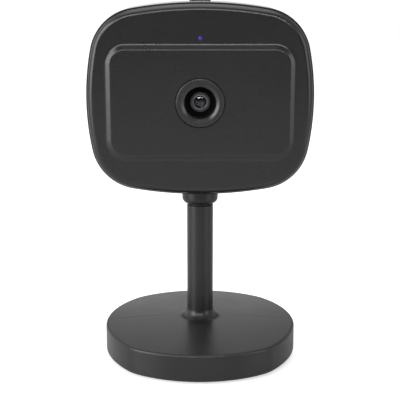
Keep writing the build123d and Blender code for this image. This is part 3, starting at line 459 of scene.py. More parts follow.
# ------------------------------------------------------------------ steel inside the stand
# A zinc-plated weight fills the foot so that the camera doesn't tip, and a tapped steel core in
# the stem takes the pan screw. Both keep their machined shapes and get plated-steel finishes.
def brushed_metal():
    """Worked metal: fine scratches one way, broad patches of tarnish, and pits."""
    tree, given, result = new_group(
        "worked_metal",
        [("Line mm", "NodeSocketFloat", 0.12), ("Patch mm", "NodeSocketFloat", 6.0)],
        [("Height", "NodeSocketFloat"), ("Tarnish", "NodeSocketFloat"), ("Polish", "NodeSocketFloat")],
    )
    place = add(tree, "ShaderNodeTexCoord").outputs["Object"]
    drawn = add(tree, "ShaderNodeMapping", {"Vector": place, "Scale": (0.06, 1.0, 1.0)})
    lines = add(tree, "ShaderNodeTexNoise", {
        "Vector": drawn.outputs[0], "Scale": maths(tree, "DIVIDE", 1000.0, given["Line mm"]), "Detail": 3.0,
    })
    patch = add(tree, "ShaderNodeTexNoise", {
        "Vector": place, "Scale": maths(tree, "DIVIDE", 1000.0, given["Patch mm"]), "Detail": 5.0,
        "Roughness": 0.62,
    })
    tree.links.new(lines.outputs[0], result["Height"])
    tree.links.new(
        maths(tree, "MULTIPLY", maths(tree, "SUBTRACT", patch.outputs[0], 0.42), 3.0, clamp=True),
        result["Tarnish"]
    )
    tree.links.new(
        maths(tree, "MULTIPLY", maths(tree, "SUBTRACT", lines.outputs[0], 0.5), 0.3), result["Polish"]
    )
    return tree


METAL = brushed_metal()


def metal(name, colour, tarnished, roughness, line=0.12, patch=6.0, depth=0.004, metallic=1.0, **sockets):
    """A metal finish that goes from its clean colour to its tarnished one in patches."""
    material = bpy.data.materials.new(name)
    material.use_nodes = True
    tree = material.node_tree
    shader = tree.nodes["Principled BSDF"]
    shader.inputs["Metallic"].default_value = metallic
    for key, value in sockets.items():
        shader.inputs[key].default_value = value
    worked = add(tree, "ShaderNodeGroup", node_tree=METAL)
    worked.inputs["Line mm"].default_value = line
    worked.inputs["Patch mm"].default_value = patch
    edges = add(tree, "ShaderNodeGroup", node_tree=EDGES)
    bright = tuple(min(1.0, c * 1.5 + 0.05) for c in colour) + (1.0,)
    base = mixed_colour(tree, worked.outputs["Tarnish"], (*colour, 1.0), (*tarnished, 1.0))
    rubbed = mixed_colour(tree, edges.outputs["Mask"], base, bright)
    tree.links.new(rubbed, shader.inputs["Base Color"])
    tree.links.new(
        maths(tree, "ADD", roughness, worked.outputs["Polish"], clamp=True), shader.inputs["Roughness"]
    )
    bump = add(tree, "ShaderNodeBump", {"Distance": depth * 0.001, "Height": worked.outputs["Height"]})
    tree.links.new(bump.outputs[0], shader.inputs["Normal"])
    return material


def repaint(node, material):
    """Give a CAD node its better finish."""
    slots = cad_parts[node].data.materials
    if len(slots) == 0:
        slots.append(material)
    for i in range(len(slots)):
        slots[i] = material


ZINC = metal("zinc_plate", (0.5, 0.51, 0.52), (0.36, 0.37, 0.4), 0.34)
repaint("base_weight", ZINC)
repaint("stem_core", ZINC)

# ------------------------------------------------------------------ base plate
# A flat black moulding that closes the foot from below. A ring-shaped groove holds the rubber,
# three sunk holes take the screws, and a shallow round panel in the middle is left blank.
PLATE_TOP = 2.15
PLATE_INSET = 2.15
RUBBER_OUTER = extent("anti_slip_ring")[1][0]
RUBBER_INNER = RUBBER_OUTER - 6.0
GROOVE_DEPTH = 0.45
HEAD_WELL = (2.1, 0.8)
BLANK_PANEL = (11.0, 0.2)

bm = bmesh.new()
rows = [[(0.001 * x, 0.001 * y, BASE_FOOT + BLANK_PANEL[1]) for x, y in ring_about_stem(1.0)]]
for radius, z in (
    (BLANK_PANEL[0] - 0.2, BASE_FOOT + BLANK_PANEL[1]), (BLANK_PANEL[0], BASE_FOOT + 0.05),
    (BLANK_PANEL[0] + 0.08, BASE_FOOT),
    (RUBBER_INNER - 0.1, BASE_FOOT), (RUBBER_INNER, BASE_FOOT + 0.1),
    (RUBBER_INNER, BASE_FOOT + GROOVE_DEPTH),
    (RUBBER_OUTER, BASE_FOOT + GROOVE_DEPTH), (RUBBER_OUTER, BASE_FOOT + 0.1),
    (RUBBER_OUTER + 0.06, BASE_FOOT),
):
    rows.append([(x, y, z) for x, y in ring_about_stem(radius)])
for inset, z in (
    (PLATE_INSET + 0.12, BASE_FOOT), (PLATE_INSET, BASE_FOOT + 0.12), (PLATE_INSET, PLATE_TOP)
):
    rows.append([(x, y, z) for x, y in oval(**BASE, inset=inset)])
made = skin(bm, rows)
bm.faces.new(made[0])
bm.faces.new(made[-1])
plate = shaped("base_cover_plate", bm)
wells = bmesh.new()
holes = bmesh.new()
for i in range(3):
    turn = pi / 2 + i * 2 * pi / 3
    spot = (POST_CIRCLE * cos(turn), POST_CIRCLE * sin(turn))
    rod(wells, *spot, BASE_FOOT - 1, BASE_FOOT + HEAD_WELL[1], HEAD_WELL[0])
    rod(holes, *spot, BASE_FOOT - 1, PLATE_TOP + 1, SCREW_HOLE + 0.2)
machined(plate, shaped("wells", wells))
machined(plate, shaped("holes", holes))
PLATE_BLACK = plastic(
    "plate_black", (0.03, 0.03, 0.031), 0.55, grain=0.45, depth=0.035, cloud=14.0, mottle=0.18, dust=0.0,
    wear=0.3
)
to_metres(plate, PLATE_BLACK)
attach(plate, "stand")
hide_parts("base_plate")

# ------------------------------------------------------------------ anti-slip ring
# A die-cut ring of black rubber, pressed into the plate's groove. Its underside has round ribs
# that grip the table, and it carries the whole weight of the camera.
RUBBER_TOP = 1.0
RIB_DEPTH = 0.16
RIB_COUNT = 6

bm = bmesh.new()
profile = [
    (RUBBER_OUTER - 0.06, RUBBER_TOP), (RUBBER_OUTER - 0.02, RUBBER_TOP - 0.08),
    (RUBBER_OUTER - 0.02, 0.22), (RUBBER_OUTER - 0.2, 0.0)
]
rib_pitch = (RUBBER_OUTER - RUBBER_INNER - 0.8) / RIB_COUNT
for i in range(RIB_COUNT):
    outer = RUBBER_OUTER - 0.4 - i * rib_pitch
    for share, z in (
        (0.1, 0.0), (0.35, RIB_DEPTH * 0.8), (0.5, RIB_DEPTH), (0.65, RIB_DEPTH * 0.8), (0.9, 0.0)
    ):
        profile.append((outer - rib_pitch * share, z))
profile += [
    (RUBBER_INNER + 0.2, 0.0), (RUBBER_INNER + 0.02, 0.22), (RUBBER_INNER + 0.02, RUBBER_TOP - 0.08),
    (RUBBER_INNER + 0.06, RUBBER_TOP)
]
RUBBER_STEPS = 144
rows = [[(u, v, z) for u, v in round_outline(r, RUBBER_STEPS)] for r, z in profile]
skin(bm, rows, closed=True)
rubber_ring = shaped("rubber_foot_ring", bm, crease=50.0)
RUBBER = plastic(
    "foot_rubber", (0.02, 0.02, 0.02), 0.72, grain=0.18, depth=0.02, cloud=5.0, mottle=0.25, dust=0.0,
    wear=0.5
)
to_metres(rubber_ring, RUBBER)
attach(rubber_ring, "stand")
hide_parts("anti_slip_ring")

# ------------------------------------------------------------------ base screws
# Three small self-tapping pan-head screws with cross recesses and a black oxide finish. They sit
# in the plate's wells and bite into the posts of the moulding above it.
def screw_pattern():
    """Screws set evenly on a circle, each a copy of one screw drawn at the origin."""
    tree = bpy.data.node_groups.new("screws_on_a_circle", "GeometryNodeTree")
    for label, kind in (
        ("Screw", "NodeSocketObject"), ("Count", "NodeSocketInt"), ("Circle", "NodeSocketFloat"),
        ("Height", "NodeSocketFloat"), ("Finish", "NodeSocketMaterial"),
    ):
        tree.interface.new_socket(label, in_out="INPUT", socket_type=kind)
    tree.interface.new_socket("Geometry", in_out="OUTPUT", socket_type="NodeSocketGeometry")
    given = add(tree, "NodeGroupInput").outputs
    circle = add(tree, "GeometryNodeMeshCircle", {"Vertices": given["Count"], "Radius": given["Circle"]})
    turned = add(
        tree, "GeometryNodeTransform", {"Geometry": circle.outputs[0], "Rotation": (0.0, 0.0, pi / 2)}
    )
    raised = add(tree, "ShaderNodeCombineXYZ", {"Z": given["Height"]})
    lifted = add(
        tree, "GeometryNodeSetPosition", {"Geometry": turned.outputs[0], "Offset": raised.outputs[0]}
    )
    screw = add(tree, "GeometryNodeObjectInfo", {"Object": given["Screw"]}, transform_space="ORIGINAL")
    places = add(tree, "GeometryNodeMeshToPoints", {"Mesh": lifted.outputs[0]})
    turns = add(tree, "FunctionNodeRandomValue", {"Seed": 7, 2: 0.0, 3: 6.0})
    spin = add(tree, "ShaderNodeCombineXYZ", {"Z": turns.outputs[1]})
    laid = add(tree, "GeometryNodeInstanceOnPoints", {
        "Points": places.outputs[0], "Instance": screw.outputs["Geometry"], "Rotation": spin.outputs[0],
    })
    real = add(tree, "GeometryNodeRealizeInstances", {"Geometry": laid.outputs[0]})
    finished = add(
        tree, "GeometryNodeSetMaterial", {"Geometry": real.outputs[0], "Material": given["Finish"]}
    )
    add(tree, "NodeGroupOutput", {"Geometry": finished.outputs[0]})
    return tree


def grown(name, tree, **inputs):
    """A plain mesh object from a geometry tree with its named inputs set."""
    piece = bpy.data.objects.new(name, bpy.data.meshes.new(name))
    bpy.context.collection.objects.link(piece)
    growth = piece.modifiers.new("growth", "NODES")
    growth.node_group = tree
    for item in tree.interface.items_tree:
        label = item.name.replace(" ", "_")
        if item.item_type == "SOCKET" and item.in_out == "INPUT" and label in inputs:
            growth[item.identifier] = inputs[label]
    return applied(piece)


def cross_screw(name, head, head_height, shank, length, sides=36, turns_per_mm=1.6):
    """A pan-head screw, seat at the origin and head towards -Z, with a cross recess and thread."""
    bm = bmesh.new()
    profile = [(0.001, -head_height)]
    for share in (0.2, 0.45, 0.7, 0.85):
        profile.append((head * share, -head_height * (1 - 0.12 * share**2)))
    profile += [
        (head * 0.95, -head_height * 0.72), (head, -head_height * 0.45), (head, -0.04), (head - 0.04, 0.0),
        (shank * 0.8, 0.0)
    ]
    threads = int(length * turns_per_mm)
    for i in range(threads):
        z = length * (0.08 + 0.8 * i / threads)
        step = length * 0.8 / threads
        profile += [
            (shank * 0.78, z), (shank, z + step * 0.4), (shank, z + step * 0.5),
            (shank * 0.78, z + step * 0.9)
        ]
    profile += [(shank * 0.6, length * 0.95), (0.001, length)]
    rows = [[(u, v, z) for u, v in round_outline(r, sides)] for r, z in profile]
    made = skin(bm, rows)
    bm.faces.new(made[0])
    bm.faces.new(made[-1])
    screw = shaped(name, bm, crease=40.0)
    arm, width = head * 0.58, head * 0.14
    cross = [(arm, width), (width, width), (width, arm), (-width, arm), (-width, width), (-arm, width)]
    cross += [(-x, -y) for x, y in cross]
    bm = bmesh.new()
    top, bottom = skin(
        bm,
        [
            [(x, y, -head_height - 0.4) for x, y in cross],
            [(x * 0.6, y * 0.8, -head_height * 0.3) for x, y in cross]
        ]
    )
    bm.faces.new(top)
    bm.faces.new(bottom)
    return machined(screw, shaped(name + "_recess", bm, crease=20.0), crease=40.0)


SCREW_STEEL = metal(
    "black_oxide_steel", (0.07, 0.07, 0.075), (0.03, 0.03, 0.032), 0.32, line=0.08, patch=1.6, depth=0.003
)
screw_tree = screw_pattern()
one_screw = cross_screw("one_base_screw", head=1.85, head_height=0.68, shank=0.88, length=2.1)
base_screws = grown(
    "foot_screws", screw_tree, Screw=one_screw, Count=3, Circle=POST_CIRCLE, Height=BASE_FOOT + 0.8,
    Finish=SCREW_STEEL
)
to_metres(base_screws, SCREW_STEEL)
bpy.data.objects.remove(one_screw)
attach(base_screws, "stand")
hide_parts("base_screws")

# ------------------------------------------------------------------ pan joint
# The neck turns on a slippery black washer at the top of the stem. A steel screw with a spring
# washer under its head holds it down with just enough drag.
WASHER_BLACK = plastic(
    "washer_black", (0.015, 0.015, 0.015), 0.35, grain=0.2, depth=0.004, cloud=2.0, mottle=0.1, wear=0.2
)
STEEL = metal("spring_steel", (0.55, 0.56, 0.58), (0.42, 0.42, 0.44), 0.28, line=0.06, patch=2.0)
repaint("pan_washer", WASHER_BLACK)
repaint("pan_screw", SCREW_STEEL)
repaint("pan_spring_washer", STEEL)

# ------------------------------------------------------------------ neck and tilt pin
# A short round fork with a softly rounded lower edge, moulded in the same satin black as the
# stand. The head's lug sits in its slot on a steel pin.
NECK_BLACK = plastic(
    "neck_black", (0.0125, 0.0125, 0.013), 0.34, grain=0.3, depth=0.012, cloud=6.0, mottle=0.14, dust=0.0,
    wear=0.2, **{"IOR": 1.43}
)
repaint("neck_fork", NECK_BLACK)
repaint("tilt_pin", STEEL)

# ------------------------------------------------------------------ tilt bracket
# A folded zinc-plated bridge screwed to two bosses over the neck. Its lug goes down into the
# fork, with a thin friction washer each side that holds the head where it is put.
repaint("tilt_bracket", ZINC)
repaint("bracket_screws", SCREW_STEEL)
repaint("tilt_friction_washers", WASHER_BLACK)

# ------------------------------------------------------------------ rear housing
# A deep tray with a polished gloss black skin: a rounded back edge, a hair-fine front rim, and
# an opening with a broken edge for each of the neck, socket, card, button, speaker and sound.
HEAD = dict(width=66.0, height=55.7, side_radius=74.1, top_radius=115.6, corner_radius=14.45)
HEAD_BOTTOM = extent("rear_housing")[0][2]
HEAD_TOP = extent("rear_housing")[1][2]
HEAD_Z = (HEAD_BOTTOM + HEAD_TOP) / 2
HOUSING_FRONT = -13.1
HOUSING_BACK = 13.0
HOUSING_WALL = 1.8
BACK_ROUND = 5.0
FRONT_ROUND = 0.3
CATCH = (-11.9, -11.1, 0.5)
BROKEN_EDGE = 0.16
PILL_STEPS = 14
GRILLE_Z = (extent("speaker")[0][2] + extent("speaker")[1][2]) / 2
GRILLE_PITCH = 2.1
GRILLE_HOLE = 0.6
SOCKET_Z = (extent("usb_receptacle")[0][2] + extent("usb_receptacle")[1][2]) / 2
SOCKET_MOUTH = (8.2, 3.3, 0.9)
CARD_SLOT = dict(length=13.7, width=1.7, y=0.45, z=HEAD_Z + 0.5)
BUTTON_Y = 4.1
BUTTON_SLOT = (6.64, 2.24)
NECK_SLOT = (18.36, 11.6, -0.88)
SOUND_HOLE = (-18.0, 1.4, 0.5)
BOARD_POSTS = [(x, z) for x in (-20.8, 20.8) for z in (HEAD_BOTTOM + 12.6, HEAD_TOP - 11.2)]
BOARD_BACK = -0.4
BRACKET_BOSS_X = 10.5
BRACKET_BOSS_TOP = extent("tilt_bracket")[1][2] - 1.8


def upright(outline, y, z=HEAD_Z):
    """An outline drawn across the head, set at one depth."""
    return [(u, y, z + v) for u, v in outline]


def pill(length, width, spread=0.0):
    """A slot with round ends, with its length along the first direction."""
    radius = width / 2 + spread
    half = length / 2 - width / 2
    ends = [
        (half + radius * cos(t), radius * sin(t))
        for t in [pi * i / PILL_STEPS - pi / 2 for i in range(PILL_STEPS + 1)]
    ]
    return ends + [(-u, -v) for u, v in ends]


def soft_rectangle(width, height, radius, spread=0.0, steps=8):
    """A rectangle with round corners."""
    a, b, r = width / 2 - radius, height / 2 - radius, radius + spread
    corners = [((a, -b), -pi / 2), ((a, b), 0.0), ((-a, b), pi / 2), ((-a, -b), pi)]
    return [
        (x + r * cos(start + pi / 2 * i / steps), y + r * sin(start + pi / 2 * i / steps))
        for (x, y), start in corners for i in range(steps + 1)
    ]


def cutter(bm, outline, place, inward=4.0):
    """A closed plug that cuts an opening with a broken outer edge. Place gives a point's position
    from its place in the outline and its depth under the skin."""
    levels = [
        (BROKEN_EDGE + 0.6, -0.6), (BROKEN_EDGE, 0.0), (BROKEN_EDGE * 0.3, BROKEN_EDGE * 0.35),
        (0.0, BROKEN_EDGE), (0.0, inward)
    ]
    made = skin(bm, [[place(u, v, depth) for u, v in outline(spread)] for spread, depth in levels])
    bm.faces.new(made[0])
    bm.faces.new(made[-1])


def above_skin(x, depth, sign=1.0):
    """Height of a point under the head's top skin, or over its floor for a sign of -1."""
    arch = sqrt(HEAD["top_radius"] ** 2 - x * x) - HEAD["top_radius"]
    return HEAD_Z + sign * (HEAD["height"] / 2 + arch - depth)


def beside_skin(z, depth):
    """How far out a point under the head's right-hand skin is."""
    return HEAD["width"] / 2 + sqrt(
        HEAD["side_radius"] ** 2 - (z - HEAD_Z) ** 2
    ) - HEAD["side_radius"] - depth


def shell_rows():
    """The housing's section from its back middle, round the outside, the front rim and the inside."""
    inner_round = BACK_ROUND - HOUSING_WALL
    shoulder = HOUSING_BACK - BACK_ROUND
    rows = []
    for step in range(15):
        turn = pi / 2 * (1 - step / 14)
        rows.append((BACK_ROUND - BACK_ROUND * cos(turn), shoulder + BACK_ROUND * sin(turn)))
    for step in range(5):
        turn = pi / 2 * step / 4
        rows.append((FRONT_ROUND * (1 - cos(turn)), HOUSING_FRONT + FRONT_ROUND * (1 - sin(turn))))
    rows += [(HOUSING_WALL - 0.15, HOUSING_FRONT), (HOUSING_WALL, HOUSING_FRONT + 0.15)]
    rows += [
        (HOUSING_WALL, CATCH[0]), (HOUSING_WALL - CATCH[2], CATCH[0]), (HOUSING_WALL - CATCH[2], CATCH[1]),
        (HOUSING_WALL, CATCH[1])
    ]
    for step in range(9):
        turn = pi / 2 * step / 8
        rows.append((BACK_ROUND - inner_round * cos(turn), shoulder + inner_round * sin(turn)))
    return rows


bm = bmesh.new()
made = skin(bm, [upright(oval(**HEAD, inset=inset), y) for inset, y in shell_rows()])
bm.faces.new(made[0])
bm.faces.new(made[-1])
housing = shaped("gloss_rear_housing", bm)

BOARD_POST_RADIUS = 2.3
tools = bmesh.new()
for x, z in BOARD_POSTS:
    ring = round_outline(BOARD_POST_RADIUS, 36)
    front, back = skin(
        tools, [[(x + u, BOARD_BACK, z + v) for u, v in ring], [(x + u, 12.0, z + v) for u, v in ring]]
    )
    tools.faces.new(front)
    tools.faces.new(back)
for x in (-BRACKET_BOSS_X, BRACKET_BOSS_X):
    rod(tools, x, 0.0, HEAD_BOTTOM + 1.0, BRACKET_BOSS_TOP, 2.6)
machined(housing, shaped("housing_posts", tools), "UNION")

tools = bmesh.new()
for x, z in BOARD_POSTS:
    ring = round_outline(SCREW_HOLE, 24)
    front, back = skin(
        tools,
        [
            [(x + u, BOARD_BACK - 1, z + v) for u, v in ring],
            [(x + u, BOARD_BACK + 7.0, z + v) for u, v in ring]
        ]
    )
    tools.faces.new(front)
    tools.faces.new(back)
for x in (-BRACKET_BOSS_X, BRACKET_BOSS_X):
    rod(tools, x, 0.0, BRACKET_BOSS_TOP - 7.0, BRACKET_BOSS_TOP + 1, SCREW_HOLE)
cutter(
    tools, lambda spread: soft_rectangle(*SOCKET_MOUTH, spread),
    lambda u, v, depth: (u, HOUSING_BACK - depth, SOCKET_Z + v), inward=3.0
)
cutter(
    tools, lambda spread: pill(CARD_SLOT["length"], CARD_SLOT["width"], spread),
    lambda u, v, depth: (beside_skin(CARD_SLOT["z"] + u, depth), CARD_SLOT["y"] + v, CARD_SLOT["z"] + u),
    inward=3.2,
)
cutter(
    tools, lambda spread: pill(*BUTTON_SLOT, spread),
    lambda u, v, depth: (u, BUTTON_Y + v, above_skin(u, depth)), inward=3.0
)
cutter(
    tools, lambda spread: pill(NECK_SLOT[0], NECK_SLOT[1], spread),
    lambda u, v, depth: (v, NECK_SLOT[2] + u, above_skin(v, depth, -1.0)), inward=2.6,
)
cutter(
    tools, lambda spread: pill(2 * SOUND_HOLE[2], 2 * SOUND_HOLE[2], spread),
    lambda u, v, depth: (SOUND_HOLE[0] + u, SOUND_HOLE[1] + v, above_skin(SOUND_HOLE[0] + u, depth, -1.0)),
    inward=5.0,
)
machined(housing, shaped("housing_openings", tools))


def grille_pattern():
    """Holes in rings round a middle one, six more in each ring than in the last."""
    tree = bpy.data.node_groups.new("speaker_grille", "GeometryNodeTree")
    for label, kind in (
        ("Pin", "NodeSocketObject"), ("Pitch", "NodeSocketFloat"), ("Middle", "NodeSocketVector"),
        ("Finish", "NodeSocketMaterial"),
    ):
        tree.interface.new_socket(label, in_out="INPUT", socket_type=kind)
    tree.interface.new_socket("Geometry", in_out="OUTPUT", socket_type="NodeSocketGeometry")
    given = add(tree, "NodeGroupInput").outputs
    rings = [add(tree, "GeometryNodeMeshLine", {"Count": 1}).outputs[0]]
    for ring in (1, 2, 3):
        radius = add(
            tree, "ShaderNodeMath", {0: given["Pitch"], 1: float(ring)}, operation="MULTIPLY"
        ).outputs[0]
        rings.append(
            add(tree, "GeometryNodeMeshCircle", {"Vertices": 6 * ring, "Radius": radius}).outputs[0]
        )
    joined = tree.nodes.new("GeometryNodeJoinGeometry")
    for ring in reversed(rings):
        tree.links.new(ring, joined.inputs[0])
    places = add(tree, "GeometryNodeMeshToPoints", {"Mesh": joined.outputs[0]})
    pin = add(tree, "GeometryNodeObjectInfo", {"Object": given["Pin"]}, transform_space="ORIGINAL")
    laid = add(
        tree, "GeometryNodeInstanceOnPoints",
        {"Points": places.outputs[0], "Instance": pin.outputs["Geometry"]}
    )
    real = add(tree, "GeometryNodeRealizeInstances", {"Geometry": laid.outputs[0]})
    stood = add(tree, "GeometryNodeTransform", {
        "Geometry": real.outputs[0], "Translation": given["Middle"], "Rotation": (-pi / 2, 0.0, 0.0),
    })
    finished = add(
        tree, "GeometryNodeSetMaterial", {"Geometry": stood.outputs[0], "Material": given["Finish"]}
    )
    add(tree, "NodeGroupOutput", {"Geometry": finished.outputs[0]})
    return tree


GLOSS_BLACK = plastic(
    "gloss_black_housing", (0.003, 0.0032, 0.0036), 0.12, grain=0.9, depth=0.0015, cloud=20.0, mottle=0.15,
    dust=0.03, wear=0.08,
    **{"Coat Weight": 0.06, "Coat Roughness": 0.06, "IOR": 1.26},
)
pin = bmesh.new()
PIN_SIDES = 20
ring_of_pin = lambda radius, z: [(u, v, z) for u, v in round_outline(radius, PIN_SIDES)]
ends = skin(pin, [
    ring_of_pin(GRILLE_HOLE + 0.12 + 0.5, 0.5), ring_of_pin(GRILLE_HOLE + 0.12, 0.0),
    ring_of_pin(GRILLE_HOLE, -0.12), ring_of_pin(GRILLE_HOLE, -3.0),
])
pin.faces.new(ends[0])
pin.faces.new(ends[-1])
pin = shaped("grille_pin", pin)
grille_tool = grown(
    "grille_tool", grille_pattern(), Pin=pin, Pitch=GRILLE_PITCH, Middle=(0.0, HOUSING_BACK, GRILLE_Z),
    Finish=GLOSS_BLACK,
)
machined(housing, grille_tool)
bpy.data.objects.remove(pin)
to_metres(housing, GLOSS_BLACK)
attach(housing, "head")
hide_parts("rear_housing")

# ------------------------------------------------------------------ boards and their parts
# The main board stands on four posts behind the lens. Chips, shields, the socket's small board,
# the speaker and the lamp board are ordinary bought parts, each in its usual finish.
def board_finish():
    """Green solder mask over copper tracks, which show as fine lighter lines with round pads."""
    material = bpy.data.materials.new("board_green")
    material.use_nodes = True
    tree = material.node_tree
    shader = tree.nodes["Principled BSDF"]
    shader.inputs["Coat Weight"].default_value = 0.5
    shader.inputs["Coat Roughness"].default_value = 0.15
    place = add(tree, "ShaderNodeTexCoord").outputs["Object"]
    tracks = add(tree, "ShaderNodeTexBrick", {
        "Vector": add(
            tree, "ShaderNodeMapping", {"Vector": place, "Rotation": (pi / 2, 0.0, 0.0)}
        ).outputs[0],
        "Scale": 260.0, "Mortar Size": 0.07, "Mortar Smooth": 0.2, "Brick Width": 0.9, "Row Height": 0.22,
    })
    pads = add(tree, "ShaderNodeTexVoronoi", {"Vector": place, "Scale": 330.0})
    dot = maths(tree, "LESS_THAN", pads.outputs["Distance"], 0.16)
    green = mixed_colour(
        tree, maths(tree, "MULTIPLY", tracks.outputs["Fac"], 0.6), (0.012, 0.09, 0.04, 1.0),
        (0.03, 0.19, 0.09, 1.0)
    )
    tinned = mixed_colour(tree, dot, green, (0.55, 0.56, 0.52, 1.0))
    tree.links.new(tinned, shader.inputs["Base Color"])
    tree.links.new(maths(tree, "MULTIPLY", dot, 0.9), shader.inputs["Metallic"])
    drift = add(tree, "ShaderNodeTexNoise", {"Vector": place, "Scale": 300.0, "Detail": 3.0})
    tree.links.new(maths(tree, "MULTIPLY", drift.outputs[0], 0.6), shader.inputs["Roughness"])
    bump = add(
        tree, "ShaderNodeBump",
        {"Distance": 0.00003, "Height": maths(tree, "ADD", tracks.outputs["Fac"], dot)}
    )
    tree.links.new(bump.outputs[0], shader.inputs["Normal"])
    return material


def wound_wire():
    """Enamelled copper wire in close turns, as fine ridges along the coil."""
    material = metal("wound_copper", (0.72, 0.36, 0.18), (0.5, 0.22, 0.1), 0.28, line=0.2, patch=2.0)
    tree = material.node_tree
    place = add(tree, "ShaderNodeTexCoord").outputs["Object"]
    turns = add(
        tree, "ShaderNodeTexWave", {"Vector": place, "Scale": 1900.0, "Distortion": 0.4},
        bands_direction="X"
    )
    bump = next(n for n in tree.nodes if n.type == "BUMP")
    bump.inputs["Distance"].default_value = 0.00008
    tree.links.new(turns.outputs["Fac"], bump.inputs["Height"])
    return material


BOARD_GREEN = board_finish()
CHIP_BLACK = plastic(
    "chip_black", (0.02, 0.02, 0.021), 0.55, grain=0.12, depth=0.006, cloud=2.5, mottle=0.2, wear=0.3
)
HOLDER_BLACK = plastic(
    "holder_black", (0.02, 0.02, 0.02), 0.5, grain=0.25, depth=0.02, cloud=4.0, mottle=0.22, wear=0.2
)
TIN_PLATE = metal("tin_plate", (0.68, 0.68, 0.67), (0.52, 0.52, 0.52), 0.3, line=0.1, patch=2.5)
ALUMINIUM = metal(
    "mill_aluminium", (0.78, 0.79, 0.8), (0.62, 0.63, 0.65), 0.36, line=0.1, patch=5.0, depth=0.006
)
SPEAKER_BLACK = metal(
    "painted_speaker", (0.07, 0.07, 0.075), (0.035, 0.035, 0.035), 0.45, line=0.5, patch=3.0, depth=0.01,
    metallic=0.3
)
FOAM = plastic(
    "foam_black", (0.02, 0.02, 0.02), 0.85, grain=0.5, depth=0.12, cloud=2.0, mottle=0.4, dust=0.1, wear=0.1
)
THERMAL = plastic(
    "thermal_grey", (0.33, 0.35, 0.38), 0.7, grain=0.4, depth=0.03, cloud=2.5, mottle=0.15, dust=0.0,
    wear=0.0
)
FILM_BLACK = plastic(
    "antenna_film", (0.03, 0.027, 0.025), 0.32, grain=0.4, depth=0.004, cloud=4.0, mottle=0.2, wear=0.2
)
for finish, nodes in (
    (BOARD_GREEN, ("main_board", "power_board", "infrared_board")),
    (CHIP_BLACK, ("image_sensor", "board_header", "reset_switch")),
    (HOLDER_BLACK, ("lens_holder", "filter_carrier")),
    (TIN_PLATE, ("card_socket", "shield_can", "microphone")),
    (ALUMINIUM, ("heat_spreader",)),
    (SPEAKER_BLACK, ("speaker",)),
    (FOAM, ("speaker_gasket",)),
    (RUBBER, ("microphone_boot",)),
    (THERMAL, ("thermal_pad",)),
    (FILM_BLACK, ("wifi_antenna",)),
    (wound_wire(), ("filter_coil",)),
    (SCREW_STEEL, ("board_screws", "lens_holder_screws", "infrared_board_screws")),
):
    for node in nodes:
        repaint(node, finish)

# ------------------------------------------------------------------ power socket
# A micro-size power socket: a folded tin-plated shell with two sloped lower corners, and a black
# tongue inside with five contacts, soldered to the small board at the back.
SOCKET = dict(width=7.5, height=2.6, wall=0.3, slope=0.7, mouth=12.3, back=6.5)
TONGUE = dict(width=3.8, height=0.6, rise=0.25, front=11.7, back=7.1)
CONTACT_PITCH = 0.65


def socket_outline(inset, slope):
    """The shell's section: a flat top and two sloped lower corners, slightly rounded."""
    a, b = SOCKET["width"] / 2 - inset, SOCKET["height"] / 2 - inset
    r = 0.25
    corners = [
        (a, b - r), (a - 0.07, b - 0.07), (a - r, b), (-a + r, b), (-a + 0.07, b - 0.07), (-a, b - r)
    ]
    return corners + [(-a, -b + slope), (-a + slope, -b), (a - slope, -b), (a, -b + slope)]


bm = bmesh.new()
wall, slope = SOCKET["wall"], SOCKET["slope"]
rows = []
for inset, cut, y in (
    (0.0, slope, SOCKET["back"]), (0.0, slope, SOCKET["mouth"] - 0.1), (0.06, slope, SOCKET["mouth"]),
    (wall - 0.12, slope - 0.05, SOCKET["mouth"]), (wall, slope - 0.1, SOCKET["mouth"] - 0.2),
    (wall, slope - 0.1, SOCKET["back"] + 0.8),
):
    rows.append([(u, y, SOCKET_Z + v) for u, v in socket_outline(inset, cut)])
made = skin(bm, rows)
bm.faces.new(made[0])
bm.faces.new(made[-1])
socket = shaped("power_socket_shell", bm, crease=30.0)
to_metres(socket, TIN_PLATE)
bm = bmesh.new()
a, b = TONGUE["width"] / 2, TONGUE["height"] / 2
tongue_z = SOCKET_Z + TONGUE["rise"]
rows = [
    [(u, y, tongue_z + v) for u, v in soft_rectangle(2 * (a - inset), 2 * (b - inset), 0.08)]
    for inset, y in ((0.0, TONGUE["back"]), (0.0, TONGUE["front"] - 0.15), (0.1, TONGUE["front"]))
]
made = skin(bm, rows)
bm.faces.new(made[0])
bm.faces.new(made[-1])
tongue = shaped("power_socket_tongue", bm)
to_metres(tongue, CHIP_BLACK)
bm = bmesh.new()
for i in range(5):
    middle = (i - 2) * CONTACT_PITCH
    rows = [
        [
            (middle + u, y, tongue_z - b - 0.02 + v)
            for u, v in ((-0.17, -0.05), (0.17, -0.05), (0.17, 0.08), (-0.17, 0.08))
        ]
        for y in (TONGUE["back"] + 0.2, TONGUE["front"] - 0.5)
    ]
    made = skin(bm, rows)
    bm.faces.new(made[0])
    bm.faces.new(made[-1])
contacts = shaped("power_socket_contacts", bm)
GOLD = metal("gold_flash", (0.9, 0.68, 0.3), (0.72, 0.5, 0.2), 0.25, line=0.05, patch=0.8, depth=0.002)
to_metres(contacts, GOLD)
for part in (socket, tongue, contacts):
    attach(part, "head")
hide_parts("usb_receptacle")

# ------------------------------------------------------------------ lens
# A black anodised barrel with a shiny lock ring that holds a small coated front element. Deeper
# in are an iris and two more elements, a filter that slides, and the sensor.
LENS_Z = (extent("lens_bezel")[0][2] + extent("lens_bezel")[1][2]) / 2
TURN_STEPS = 120


